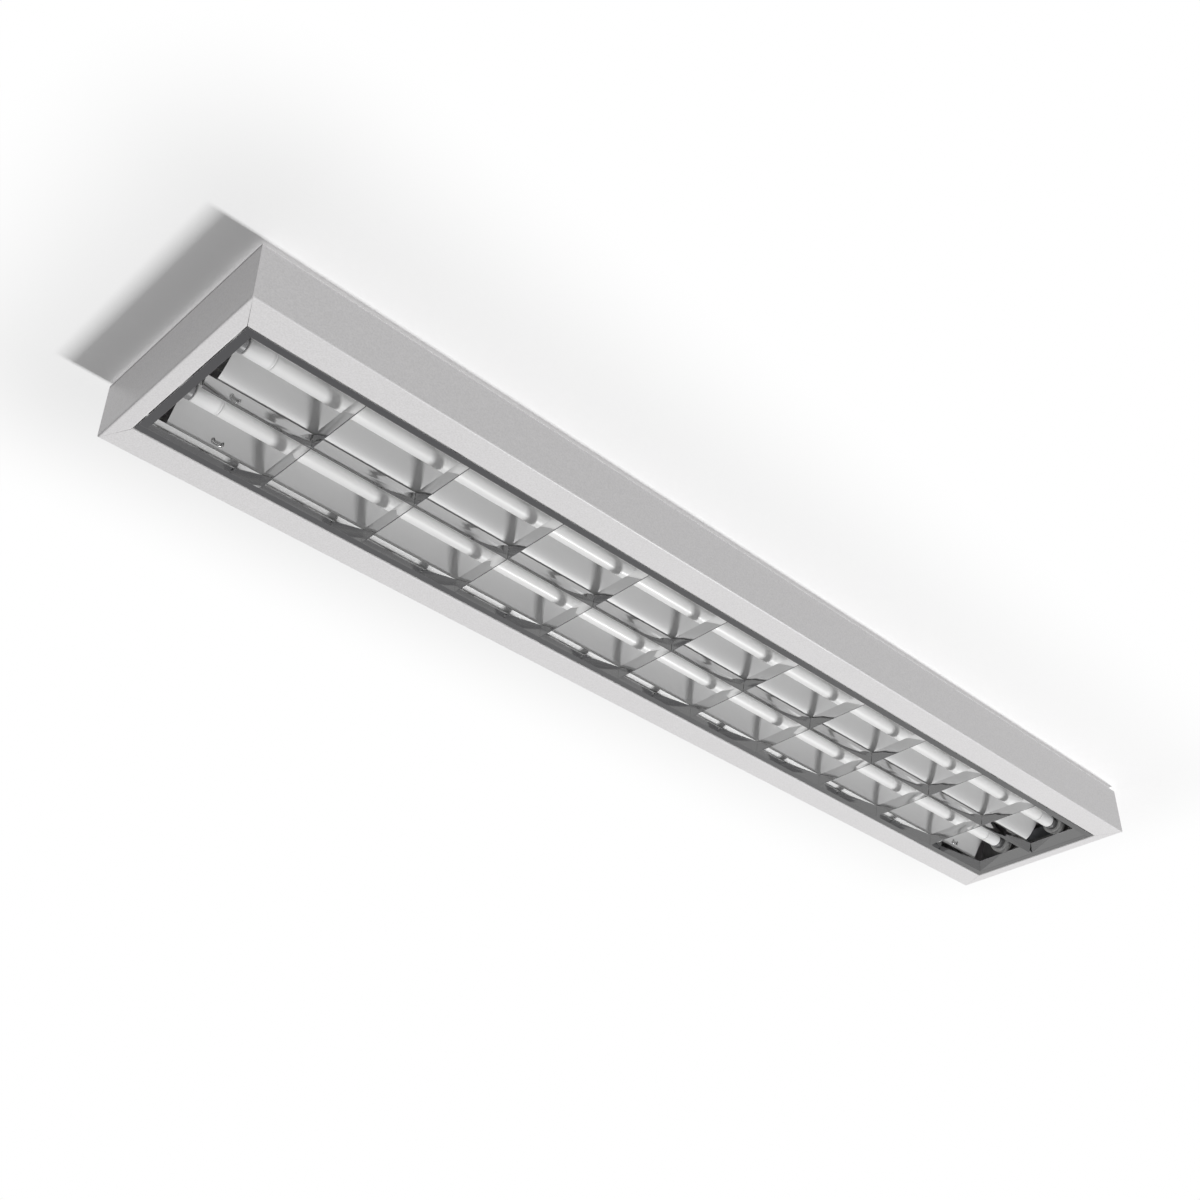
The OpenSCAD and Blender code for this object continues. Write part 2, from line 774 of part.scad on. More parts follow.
module earth_stud() {
    color("goldenrod") translate([stud_x, 0, -stud_length])
        cylinder(h = stud_length - running, r = stud_radius);
}

tag_half = 1.5;
tag_reach = 9;
tag_low = -sheet - fit - washer_thick - tag_thick - 2 * fit;

module earth_nuts() {
    color("goldenrod") translate([stud_x, 0, 0]) difference() {
        union() {
            translate([0, 0, -sheet - fit - washer_thick]) cylinder(h = washer_thick, r = washer_radius);
            translate([0, 0, tag_low - washer_thick]) cylinder(h = washer_thick, r = washer_radius);
            translate([0, 0, tag_low - washer_thick - nut_height])
                cylinder(h = nut_height, r = nut_radius, $fn = 6);
            translate([0, 0, tag_low + fit]) cylinder(h = tag_thick, r = washer_radius);
            block([0, -tag_half, tag_low + fit], [tag_reach, tag_half, tag_low + fit + tag_thick]);
        }
        translate([0, 0, -stud_length]) cylinder(h = stud_length, r = stud_radius + running);
    }
}

// Wiring: each lead is a tube swept along its own points
lead_sides = 8;
up_hint = [0.31, 0.17, 1];

function tangent(path, i) = heading(path[max(i - 1, 0)], path[min(i + 1, len(path) - 1)]);
function ring(path, i, radius) =
    let (t = tangent(path, i), u = cross(t, up_hint) / norm(cross(t, up_hint)), v = cross(t, u))
    [for (k = [0:lead_sides - 1]) let (a = 360 * k / lead_sides)
        path[i] + radius * (cos(a) * u + sin(a) * v)];

module lead(path, radius) {
    n = len(path);
    s = lead_sides;
    points = [for (i = [0:n - 1]) each ring(path, i, radius)];
    walls = [for (i = [0:n - 2], k = [0:s - 1]) each [
        [i * s + k, i * s + (k + 1) % s, (i + 1) * s + k],
        [i * s + (k + 1) % s, (i + 1) * s + (k + 1) % s, (i + 1) * s + k]]];
    far = (n - 1) * s;
    caps = [for (k = [1:s - 2]) each [[0, k + 1, k], [far, far + k, far + k + 1]]];
    polyhedron(points, concat(walls, caps));
}

// Places along the leads, given as distances from the pieces that they join
lead_in = 3;
lead_drop = 2.6;
lead_step = 3.2;
lane_gap = 2.4;
port_out = 4;
lane_z = -sheet - lead_drop;
lane_y = ballast_width / 2 + lane_gap;
bridge_past = 18;
pan_before = 18;
holder_before = 5;
holder_side = 2.2;
dip = 3;
function lane(side, k) = side * (lane_y + k * lead_step);

function holder_route(side, sign, k) = let (
    x = k == 0 ? holder_x + wire_inset : holder_end - wire_inset,
    y = lamp_y - holder_half,
    aside = holder_side + lane_gap + k * holder_side / 2) [
    [sign * (bridge_x + bridge_past), side * (lane_y + lane_gap / 2), lane_z - dip - k * lead_step],
    [sign * (holder_x - pan_before), side * (lane_y - k * lane_gap),
        holder_side - wire_drop - k * lane_gap],
    [sign * (x - holder_before), side * (y - aside), -wire_drop],
    [sign * x, side * (y - holder_side), -wire_drop],
    [sign * x, side * (y + lead_in), -wire_drop]];

turn_short = 10;
turn_long = 16;
left_rise = 26;
left_level = 42;
function left_route(side, k) = let (y = side * (k + 0.5) * port_spacing) concat([
    [lamp_port_x + lead_in, y, port_z - row_half],
    [lamp_port_x - port_out, y, port_z - row_half],
    [lamp_port_x - turn_long, y, port_z - row_half],
    [lamp_port_x - left_rise, (y + lane(side, k)) / 2, (port_z + lane_z) / 2 - row_half],
    [lamp_port_x - left_level, lane(side, k), lane_z],
    [-bridge_x + bridge_foot, lane(side, k), lane_z]], holder_route(side, -1, k));

function right_route(side, k) = let (
    y = side * (1.5 - k) * port_spacing,
    turn = k == 0 ? turn_short : turn_long,
    z = port_z + row_half,
    far = lane(side, k)) concat([
    [lamp_port_x + lead_in, y, z],
    [lamp_port_x - port_out, y, z],
    [lamp_port_x - turn + lead_radius, y + side * lane_gap, z],
    [lamp_port_x - turn, (y + far) / 2, z + lead_radius],
    [lamp_port_x - turn + lane_gap, far - side * lane_gap, z + 2 * lead_radius],
    [lamp_port_x - turn + 2 * lead_step, far, z + 3 * lead_radius],
    [ballast_from + left_level, far, lane_z],
    [bridge_x - bridge_foot, far, lane_z]], holder_route(side, 1, k));

module lamp_leads_left() {
    color("whitesmoke") for (side = ends, k = [0, 1])
        lead(left_route(side, k), lead_radius);
}

module lamp_leads_right() {
    color("whitesmoke") for (side = ends, k = [0, 1])
        lead(right_route(side, k), lead_radius);
}

live_route = [
    [mains_port_x - lead_in, -port_spacing, port_z],
    [mains_port_x + port_out, -port_spacing, port_z],
    [(mains_port_x + block_face) / 2, -pole_spacing, bore_z],
    [block_face - port_out, -pole_spacing, bore_z],
    [block_face + lead_in, -pole_spacing, bore_z]];
neutral_route = [
    [mains_port_x - lead_in, port_spacing, port_z],
    [mains_port_x + port_out, port_spacing, port_z],
    [stud_x - turn_short, washer_radius + lane_gap, bore_z],
    [stud_x + port_out, washer_radius + lane_gap, bore_z],
    [block_face - turn_short, washer_radius / 2, bore_z],
    [block_face - port_out, 0, bore_z],
    [block_face + lead_in, 0, bore_z]];
earth_route = [
    [block_face + lead_in, pole_spacing, bore_z],
    [block_face - port_out, pole_spacing, bore_z],
    [block_face - port_out - lead_radius, pole_spacing - lane_gap, bore_z + lead_step],
    [stud_x + tag_reach + 2 * lane_gap, lane_gap, tag_low - lead_radius],
    [stud_x + tag_reach + lane_gap, lead_radius / 2, tag_low + tag_thick / 2],
    [stud_x + tag_reach + fit, 0, tag_low + tag_thick / 2]];

module mains_leads() {
    color("royalblue") for (route = [live_route, neutral_route])
        lead(route, lead_radius);
}

module earth_lead() {
    color("limegreen") lead(earth_route, lead_radius);
}

// Louvre: side, centre and end profiles with cross blades let into them
cell_count = 11;
mid_share = 0.5;
fold_z = louvre_bottom + fold_half;
joint_z = louvre_bottom + mid_share * louvre_height;
cell_pitch = 2 * end_inner_x / cell_count;
notch_clear = 0.3;
function arm_run(z) = arm_slope * (z - fold_z);
blade_share = (blade_half_width - fold_half) / (vee_half_width - fold_half);
function blade_x(i) = (i - cell_count / 2) * cell_pitch;
function vee_line(share) =
    mirrored([[fold_half + share * arm_run(louvre_top), louvre_top], [fold_half, fold_z]]);
side_line = [[side_outer_y, fold_z], [side_inner_y, fold_z],
    [side_inner_y - arm_run(louvre_top), louvre_top]];
end_line = [[end_outer_x, fold_z], [end_inner_x, fold_z],
    [end_inner_x - arm_run(louvre_top), louvre_top]];
notch_run = 6;
notch_deep = 3;

// Room that a V-shaped profile needs between two heights
function vee_side(z, share) = fold_half + share * arm_run(z) + arm_wall / 2 + notch_clear;
function vee_room(low, high, share) =
    mirrored([[vee_side(low, share), low], [vee_side(high, share), high]]);

// Notches in the top edge of an arm, in which the blades' tabs lie
module tab_notches(from_y, to_y) {
    for (i = [1:cell_count - 1])
        block([blade_x(i) - notch_run / 2, from_y, louvre_top - notch_deep],
            [blade_x(i) + notch_run / 2, to_y, louvre_top + over]);
}

module side_profile() {
    along_x(2 * end_outer_x) polygon(strip(side_line, louvre_sheet));
}

module louvre_side_front() {
    color("silver") difference() {
        mirror([0, 1, 0]) side_profile();
        tab_notches(-side_outer_y, -side_inner_y + vee_half_width);
    }
}

module louvre_side_rear() {
    color("silver") side_profile();
}

module between_sides() {
    low = louvre_bottom - over;
    high = louvre_top + over;
    half = side_inner_y - arm_wall / 2 - fit;
    intersection() {
        children();
        along_x(body_length) polygon([[-half + arm_run(low), low], [half - arm_run(low), low],
            [half - arm_run(high), high], [-half + arm_run(high), high]]);
    }
}

module louvre_centre_profile() {
    color("silver") difference() {
        along_x(2 * (end_inner_x - vee_half_width - fit)) polygon(strip(vee_line(1), louvre_sheet));
        for (i = [1:cell_count - 1])
            translate([blade_x(i), 0, 0]) along_y(body_width)
                polygon(vee_room(joint_z, louvre_top + over, blade_share));
        tab_notches(fit, vee_half_width);
    }
}

module louvre_end() {
    color("silver") between_sides() along_y(body_width) polygon(strip(end_line, louvre_sheet));
}

module cross_blade(i) {
    color("silver") difference() {
        between_sides() translate([blade_x(i), 0, 0]) along_y(body_width)
            polygon(strip(vee_line(blade_share), louvre_sheet));
        along_x(body_length) polygon(vee_room(louvre_bottom - over, joint_z + fit, 1));
    }
}

// Hinge pivots at the rear corners and leaf springs that hold the front of the louvre
pivot_length = 5;
pivot_half = 1.3;
pin_past = 2;

module louvre_hinge_pivots() {
    color("dimgray") both_ends() {
        block([end_outer_x - pivot_length, hinge_y - pivot_half, louvre_bottom + louvre_sheet + fit],
            [end_outer_x, hinge_y + pivot_half, hinge_z + hinge_dia / 2]);
        rod_x(end_outer_x - pivot_length / 2, rim_inner_x + sheet + pin_past, hinge_y, hinge_z,
            hinge_dia / 2);
    }
}

spring_sheet = 0.4;
spring_width = 12;
spring_reach = 7.2;
spring_drop = 3.6;
spring_tail = 2;
spring_grip = 3;
spring_share = 2 / 3;
spring_gap = fit + spring_sheet / 2;
spring_line = [
    [rim_inner_y + sheet + spring_gap, lip_top - spring_grip],
    [rim_inner_y + sheet + spring_gap, lip_top + spring_gap],
    [rim_inner_y - spring_gap, lip_top + spring_gap],
    [rim_inner_y - spring_gap - spring_reach, lip_top + spring_gap - spring_drop],
    [rim_inner_y - spring_gap - spring_reach + spring_tail,
        lip_top + spring_gap - spring_drop - spring_tail]];

module louvre_springs() {
    color("silver") both_ends()
        translate([spring_share * end_inner_x, 0, 0]) mirror([0, 1, 0]) along_x(spring_width)
            polygon(strip(spring_line, spring_sheet));
}

housing_tray();
mirror([1, 0, 0]) end_wall();  // end_wall_left
end_wall();  // end_wall_right
end_wall_rivets();
reflector_bridges();
reflector_pan();
reflector_clips();
mirror([1, 0, 0]) end_reflector();  // end_reflector_left
end_reflector();  // end_reflector_right
lampholder_brackets();
mirror([1, 0, 0]) lampholder(-1);  // lampholder_front_left
lampholder(-1);  // lampholder_front_right
mirror([1, 0, 0]) lampholder(1);  // lampholder_rear_left
lampholder(1);  // lampholder_rear_right
mirror([1, 0, 0]) rotor(-1);  // rotor_front_left
rotor(-1);  // rotor_front_right
mirror([1, 0, 0]) rotor(1);  // rotor_rear_left
rotor(1);  // rotor_rear_right
lamp_tube(-1);  // lamp_tube_front
lamp_tube(1);  // lamp_tube_rear
lamp_caps(-1);  // lamp_caps_front
lamp_caps(1);  // lamp_caps_rear
lamp_pins(-1);  // lamp_pins_front
lamp_pins(1);  // lamp_pins_rear
ballast_case();
ballast_cover();
ballast_board();
ballast_terminals();
gear_screws();
terminal_block();
release_button(-1);  // release_button_live
release_button(0);  // release_button_neutral
release_button(1);  // release_button_earth
cable_grommet();
cable_clamp();
earth_stud();
earth_nuts();
lamp_leads_left();
lamp_leads_right();
mains_leads();
earth_lead();
louvre_side_front();
louvre_side_rear();
louvre_centre_profile();
mirror([1, 0, 0]) louvre_end();  // louvre_end_left
louvre_end();  // louvre_end_right
louvre_hinge_pivots();
louvre_springs();
cross_blade(1);  // cross_blade_1
cross_blade(2);  // cross_blade_2
cross_blade(3);  // cross_blade_3
cross_blade(4);  // cross_blade_4
cross_blade(5);  // cross_blade_5
cross_blade(6);  // cross_blade_6
cross_blade(7);  // cross_blade_7
cross_blade(8);  // cross_blade_8
cross_blade(9);  // cross_blade_9
cross_blade(10);  // cross_blade_10
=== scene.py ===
"""Dressed scene of a surface mounted ceiling light with two tubular lamps and a cross-blade louvre."""
import logging
import math
from dataclasses import dataclass
from enum import Enum

import bmesh
import bpy
from bpy.types import ID, Material, Mesh, Modifier, Node, NodeSocket, NodeTree, Object
from mathutils import Matrix, Vector


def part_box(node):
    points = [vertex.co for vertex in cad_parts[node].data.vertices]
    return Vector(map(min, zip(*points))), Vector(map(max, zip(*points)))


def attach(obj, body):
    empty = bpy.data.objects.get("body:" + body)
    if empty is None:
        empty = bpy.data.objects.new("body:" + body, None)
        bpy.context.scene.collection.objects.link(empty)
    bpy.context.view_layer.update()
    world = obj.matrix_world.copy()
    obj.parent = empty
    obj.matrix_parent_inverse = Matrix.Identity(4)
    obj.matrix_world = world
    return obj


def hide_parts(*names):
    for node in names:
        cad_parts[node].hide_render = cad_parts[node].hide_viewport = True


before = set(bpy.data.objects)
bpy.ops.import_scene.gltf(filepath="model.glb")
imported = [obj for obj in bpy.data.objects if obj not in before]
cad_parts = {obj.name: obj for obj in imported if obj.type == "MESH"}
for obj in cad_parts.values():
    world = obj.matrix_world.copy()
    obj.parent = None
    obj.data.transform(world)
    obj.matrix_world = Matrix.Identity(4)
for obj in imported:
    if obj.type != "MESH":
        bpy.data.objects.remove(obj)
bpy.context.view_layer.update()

LOG = logging.getLogger("ceiling_light")
MM = 0.001
Point = tuple[float, float]
Triple = tuple[float, float, float]

# Points nearer than this are one, in metres, in meshes made here and in those of the CAD
WELD = 1e-7
CAD_WELD = 2e-6

# Faces that meet at less than this many degrees are merged or shaded as one
FLAT_ANGLE = 0.5
SMOOTH_ANGLE = 35.0

# Rounded edges
ROUND_STEPS = 2
ROUND_SHAPE = 0.6

# Range in which most of the fine and of the slow noise lies
FINE_NOISE: Point = (0.3, 0.7)
SLOW_NOISE: Point = (0.25, 0.75)


class Side(Enum):
    """Side of the housing, by the sign of Y."""

    FRONT = -1
    REAR = 1


class End(Enum):
    """End of the housing, by the sign of X."""

    LEFT = -1
    RIGHT = 1


def corners(node: str) -> tuple[Vector, Vector]:
    """Gives the lowest and highest corners of a CAD node.

    Args:
        node: Name of the node.

    Returns:
        The two corners, in metres.
    """
    low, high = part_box(node)
    return Vector(low), Vector(high)


# Shader nodes that several materials share


def set_range(node: Node, kind: str, ends: Point) -> None:
    """Sets the From or To range of a Map Range node."""
    node.inputs[kind + " Min"].default_value, node.inputs[kind + " Max"].default_value = ends


def reckoned(tree: NodeTree, operation: str, first: NodeSocket, second: NodeSocket | float) -> NodeSocket:
    """Adds a Math node to a tree.

    Args:
        tree: The tree.
        operation: What the node does.
        first: Socket of the first term.
        second: Socket of the second term, or its value.

    Returns:
        The socket of the result.
    """
    node = tree.nodes.new("ShaderNodeMath")
    node.operation = operation
    tree.links.new(first, node.inputs[0])
    if isinstance(second, NodeSocket):
        tree.links.new(second, node.inputs[1])
    else:
        node.inputs[1].default_value = second
    return node.outputs[0]


def noise_group(name: str, details: Point, stretch: Triple) -> NodeTree:
    """Builds a fine noise and a slow one in object coordinates, once for each name.

    Args:
        name: Name of the group.
        details: Detail of the fine and of the slow noise.
        stretch: Scale of the fine noise's coordinates.

    Returns:
        The node group, which takes the two scales and gives a height and a mottle.
    """
    group = bpy.data.node_groups.get(name)
    if group:
        return group
    group = bpy.data.node_groups.new(name, "ShaderNodeTree")
    for way, names in (("INPUT", ("Fine Scale", "Slow Scale")), ("OUTPUT", ("Height", "Mottle"))):
        for word in names:
            group.interface.new_socket(name=word, in_out=way, socket_type="NodeSocketFloat")
    nodes, link = group.nodes, group.links.new
    entry, leave = nodes.new("NodeGroupInput"), nodes.new("NodeGroupOutput")
    place, scaled = nodes.new("ShaderNodeTexCoord"), nodes.new("ShaderNodeMapping")
    scaled.inputs["Scale"].default_value = stretch
    link(place.outputs["Object"], scaled.inputs["Vector"])
    for i, spot in enumerate((scaled.outputs["Vector"], place.outputs["Object"])):
        noise = nodes.new("ShaderNodeTexNoise")
        noise.inputs["Detail"].default_value = details[i]
        link(spot, noise.inputs["Vector"])
        link(entry.outputs[i], noise.inputs["Scale"])
        link(noise.outputs["Fac"], leave.inputs[i])
    return group


@dataclass(frozen=True)
class Finish:
    """What every finish has: a name, a colour, a gloss and how far they vary.

    The height of its grain is in millimetres.
    """

    name: str
    colour: Triple
    roughness: float = 0.5
    spread: float = 0.06
    tint_spread: float = 0.05
    metal: float = 0.0
    coat: float = 0.0
    coat_roughness: float = 0.08
    least_roughness: float = 0.02
    height: float = 0.02
    grain: float = 900.0
    mottle: float = 9.0
    strength: float = 0.25
    speckle: float = 0.0

    def pattern(self) -> NodeTree:
        """Gives the fine grain of a coated surface with a slow mottle under it."""
        return noise_group("coat_grain", (3.0, 5.0), (1.0, 1.0, 1.0))

    def tinted(self, material: Material, mottle: NodeSocket) -> NodeSocket:
        """Mixes the colour that the shader takes.

        Args:
            material: The material being built.
            mottle: The slow pattern, about 0.5 on average.

        Returns:
            The socket that carries the colour.
        """
        mix = material.node_tree.nodes.new("ShaderNodeMix")
        mix.data_type = "RGBA"
        dark = tuple(c * (1.0 - self.tint_spread) for c in self.colour)
        light = tuple(min(1.0, c * (1.0 + self.tint_spread)) for c in self.colour)
        mix.inputs["A"].default_value = (*dark, 1.0)
        mix.inputs["B"].default_value = (*light, 1.0)
        material.node_tree.links.new(mottle, mix.inputs["Factor"])
        return mix.outputs["Result"]

    def speckled(self, material: Material, colour: NodeSocket, grain: NodeSocket) -> NodeSocket:
        """Darkens and lightens a colour by the fine grain.

        Args:
            material: The material being built.
            colour: Socket that carries the colour.
            grain: The fine pattern, about 0.5 on average.

        Returns:
            The socket that carries the speckled colour.
        """
        nodes, link = material.node_tree.nodes, material.node_tree.links.new
        level, times = nodes.new("ShaderNodeMapRange"), nodes.new("ShaderNodeVectorMath")
        set_range(level, "From", FINE_NOISE)
        set_range(level, "To", (1.0 - self.speckle, 1.0 + self.speckle))
        times.operation = "SCALE"
        link(grain, level.inputs["Value"])
        link(colour, times.inputs[0])
        link(level.outputs["Result"], times.inputs["Scale"])
        return times.outputs["Vector"]

    def material(self) -> Material:
        """Builds the material once and gives it back on every later call.

        Returns:
            The material.
        """
        found = bpy.data.materials.get(self.name)
        if found:
            return found
        made = bpy.data.materials.new(self.name)
        made.use_nodes = True
        nodes, link = made.node_tree.nodes, made.node_tree.links.new
        shader = nodes["Principled BSDF"]
        group = nodes.new("ShaderNodeGroup")
        group.node_tree = self.pattern()
        group.inputs[0].default_value = self.grain
        group.inputs[1].default_value = self.mottle
        colour = self.tinted(made, group.outputs[1])
        if self.speckle > 0.0:
            colour = self.speckled(made, colour, group.outputs[0])
        link(colour, shader.inputs["Base Color"])
        gloss = nodes.new("ShaderNodeMapRange")
        set_range(gloss, "From", SLOW_NOISE)
        set_range(gloss, "To", (max(self.least_roughness, self.roughness - self.spread),
                                min(1.0, self.roughness + self.spread)))
        link(group.outputs[1], gloss.inputs["Value"])
        link(gloss.outputs["Result"], shader.inputs["Roughness"])
        shader.inputs["Metallic"].default_value = self.metal
        shader.inputs["Coat Weight"].default_value = self.coat
        shader.inputs["Coat Roughness"].default_value = self.coat_roughness
        bump = nodes.new("ShaderNodeBump")
        bump.inputs["Strength"].default_value = self.strength
        bump.inputs["Distance"].default_value = self.height * MM
        link(group.outputs[0], bump.inputs["Height"])
        link(bump.outputs["Normal"], shader.inputs["Normal"])
        return made


@dataclass(frozen=True)
class RolledMetal(Finish):
    """Bare or anodised sheet metal."""

    metal: float = 1.0
    grain: float = 700.0
    mottle: float = 14.0

    def pattern(self) -> NodeTree:
        """Gives the long rolling lines of sheet metal, which run along X, with a haze over them."""
        return noise_group("rolling_lines", (2.0, 4.0), (0.02, 1.0, 1.0))


@dataclass(frozen=True)
class Finishes:
    """All the finishes of the light."""

    paint: Finish = Finish("powder_coat", (0.81, 0.798, 0.803), 0.38, 0.04, 0.008,
                           height=0.05, grain=750.0, strength=0.3, speckle=0.07)
    rivet: Finish = Finish("rivet_aluminium", (0.72, 0.72, 0.73), 0.35, metal=1.0, height=0.01)
    galvanised: Finish = Finish("galvanised_sheet", (0.56, 0.58, 0.60), 0.38, 0.1, 0.12,
                                metal=1.0, mottle=140.0)
    reflector: Finish = RolledMetal("satin_reflector", (0.62, 0.62, 0.62), 0.5, 0.03, 0.02,
                                    metal=0.12, height=0.004)
    shade: Finish = RolledMetal("end_shade", (0.80, 0.80, 0.80), 0.07, 0.02, 0.03, height=0.003)
    wire: Finish = Finish("bright_wire", (0.86, 0.86, 0.86), 0.15, 0.03, metal=1.0, height=0.004)
    zinc: Finish = Finish("zinc_plate", (0.66, 0.67, 0.69), 0.3, 0.08, 0.06, metal=1.0, mottle=60.0)
    white_case: Finish = Finish("case_enamel", (0.78, 0.78, 0.77), 0.3, 0.04, 0.01, coat=0.2)
    board: Finish = Finish("solder_mask", (0.03, 0.16, 0.06), 0.35, 0.05, 0.15, coat=0.3, mottle=120.0)
    grey_plastic: Finish = Finish("grey_moulding", (0.10, 0.105, 0.11), 0.45, 0.06)
    white_plastic: Finish = Finish("white_moulding", (0.74, 0.74, 0.72), 0.35, 0.05, 0.02)
    holder: Finish = Finish("holder_moulding", (0.72, 0.72, 0.71), 0.4, 0.06, 0.02)
    rotor: Finish = Finish("rotor_moulding", (0.22, 0.22, 0.225), 0.4, 0.05, 0.02)
    orange: Finish = Finish("orange_moulding", (0.76, 0.21, 0.03), 0.35, 0.05, 0.03)
    rubber: Finish = Finish("grommet_rubber", (0.035, 0.035, 0.036), 0.7, 0.1, 0.15, height=0.04)
    brass: Finish = Finish("plain_brass", (0.62, 0.43, 0.18), 0.28, 0.07, 0.08, metal=1.0, mottle=90.0)
    glass: Finish = Finish("coated_glass", (0.90, 0.90, 0.895), 0.42, 0.03, 0.01, coat=0.1, height=0.002)
    cap: Finish = Finish("pressed_cap", (0.82, 0.82, 0.82), 0.65, 0.05, 0.02, height=0.006)
    white_lead: Finish = Finish("white_insulation", (0.74, 0.74, 0.72), 0.4, 0.05, 0.02)
    blue_lead: Finish = Finish("blue_insulation", (0.02, 0.09, 0.40), 0.4, 0.05, 0.05)
    green_lead: Finish = Finish("green_insulation", (0.10, 0.36, 0.05), 0.4, 0.05, 0.05)
    louvre: Finish = RolledMetal("bright_louvre", (0.86, 0.86, 0.86), 0.05, 0.015, 0.02, height=0.002)


FINISHES = Finishes()


# Mesh makers


def placed(name: str, data: ID) -> Object:
    """Puts an object in the scene.

    Args:
        name: Name of the object.
        data: Its mesh, lamp or camera.

    Returns:
        The object.
    """
    made = bpy.data.objects.new(name, data)
    bpy.context.scene.collection.objects.link(made)
    return made


def made_object(name: str, mesh: Mesh, finish: Finish | None, smooth_below: float = SMOOTH_ANGLE) -> Object:
    """Puts a mesh in the scene with its finish and shades it smooth up to an angle.

    Args:
        name: Name of the piece.
        mesh: Its mesh, in metres and in place.
        finish: Its finish, or None where the mesh already carries materials.
        smooth_below: Faces that meet at less than this many degrees are shaded as one.

    Returns:
        The new object.
    """
    piece = placed(name, mesh)
    if finish:
        mesh.materials.clear()
        mesh.materials.append(finish.material())
    mesh.shade_smooth()
    mesh.set_sharp_from_angle(angle=math.radians(smooth_below))
    return piece


def finished(work: bmesh.types.BMesh, name: str) -> Mesh:
    """Turns a working mesh into a plain one.

    Args:
        work: The working mesh, which is used up.
        name: Name of the plain mesh.

    Returns:
        The plain mesh.
    """
    mesh = bpy.data.meshes.new(name)
    work.to_mesh(mesh)
    work.free()
    return mesh


def mesh_of(name: str, points: list[Vector], faces: list[list[int]]) -> Mesh:
    """Makes a closed mesh with merged doubles and outward normals.

    Args:
        name: Name of the mesh.
        points: Corners, in metres.
        faces: Corner numbers of each face.

    Returns:
        The mesh.
    """
    work = bmesh.new()
    verts = [work.verts.new(p) for p in points]
    for face in faces:
        work.faces.new([verts[i] for i in face])
    bmesh.ops.remove_doubles(work, verts=work.verts, dist=WELD)
    bmesh.ops.dissolve_degenerate(work, dist=WELD, edges=work.edges)
    bmesh.ops.recalc_face_normals(work, faces=work.faces)
    return finished(work, name)


def offset_line(line: list[Point], distance: float) -> list[Point]:
    """Shifts a line of points sideways, with mitred corners.

    Args:
        line: Points of the line.
        distance: How far it moves to its left.

    Returns:
        The shifted points.
    """
    normals = []
    for (ax, ay), (bx, by) in zip(line, line[1:]):
        long = math.hypot(bx - ax, by - ay)
        normals.append(((ay - by) / long, (bx - ax) / long))
    shifted = []
    for i, (px, py) in enumerate(line):
        before, after = normals[max(i - 1, 0)], normals[min(i, len(normals) - 1)]
        share = distance / (1.0 + before[0] * after[0] + before[1] * after[1])
        shifted.append((px + (before[0] + after[0]) * share, py + (before[1] + after[1]) * share))
    return shifted


def sheet_along_x(name: str, line: list[Point], thickness: float, span: Point) -> Mesh:
    """Makes a folded sheet whose section lies in Y and Z.

    Args:
        name: Name of the mesh.
        line: Middle line of the section.
        thickness: Thickness of the sheet.
        span: X of its two ends.

    Returns:
        The mesh, closed at both ends.
    """
    left, right = offset_line(line, thickness / 2), offset_line(line, -thickness / 2)
    count = len(line)
    points = [Vector((x, *p)) for x in span for p in (*left, *right)]
    faces = []
    for i in range(count - 1):
        for base in (0, count):
            faces.append([base + i, base + i + 1, 2 * count + base + i + 1, 2 * count + base + i])
        for base in (0, 2 * count):
            faces.append([base + i, base + i + 1, base + count + i + 1, base + count + i])
    for i in (0, count - 1):
        faces.append([i, count + i, 3 * count + i, 2 * count + i])
    return mesh_of(name, points, faces)


def ring(sides: int) -> list[Point]:
    """Gives the corners of a ring of radius 1."""
    angles = [2 * math.pi * k / sides for k in range(sides)]
    return [(math.cos(angle), math.sin(angle)) for angle in angles]


def band_faces(rings: int, sides: int) -> list[list[int]]:
    """Gives the faces that join rings of points, one after the other.

    Args:
        rings: Number of rings.
        sides: Points in each ring.

    Returns:
        Corner numbers of each face.
    """
    faces = []
    for base in range(0, (rings - 1) * sides, sides):
        for k in range(sides):
            following = (k + 1) % sides
            faces.append([base + k, base + following, base + sides + following, base + sides + k])
    return faces


def stepped(start: float, radius: float, steps: tuple[Point, ...]) -> list[Point]:
    """Gives the outline of a turned piece from its steps.

    Args:
        start: X from which the steps count.
        radius: Radius from which they go in.
        steps: How far on and how far in each point lies, in millimetres.

    Returns:
        X and radius of each point.
    """
    return [(start + on * MM, radius - inwards * MM) for on, inwards in steps]


def turned(name: str, profile: list[Point], centre: Point, sides: int) -> Mesh:
    """Turns a profile about an axis along X.

    Args:
        name: Name of the mesh.
        profile: X and radius of each ring. A radius of zero closes the end.
        centre: Y and Z of the axis.
        sides: Number of sides of each ring.

    Returns:
        The mesh.
    """
    points = [Vector((x, centre[0] + radius * across, centre[1] + radius * up))
              for x, radius in profile for across, up in ring(sides)]
    return mesh_of(name, points, band_faces(len(profile), sides))


def swept(name: str, path: list[Vector], radius: float, sides: int) -> Mesh:
    """Sweeps a round section along a path.

    Args:
        name: Name of the mesh.
        path: Points of the middle line.
        radius: Radius of the section.
        sides: Sides of the section.

    Returns:
        The mesh, closed at both ends.
    """
    points: list[Vector] = []
    # Any direction that no path here runs along
    across = Vector((0.31, 0.17, 1.0))
    for i, place in enumerate(path):
        along = (path[min(i + 1, len(path) - 1)] - path[max(i - 1, 0)]).normalized()
        across = (across - along * across.dot(along)).normalized()
        beside = along.cross(across)
        points += [place + radius * (c * across + s * beside) for c, s in ring(sides)]
    ends = [list(range(sides)), [len(points) - sides + k for k in range(sides)]]
    return mesh_of(name, points, band_faces(len(path), sides) + ends)


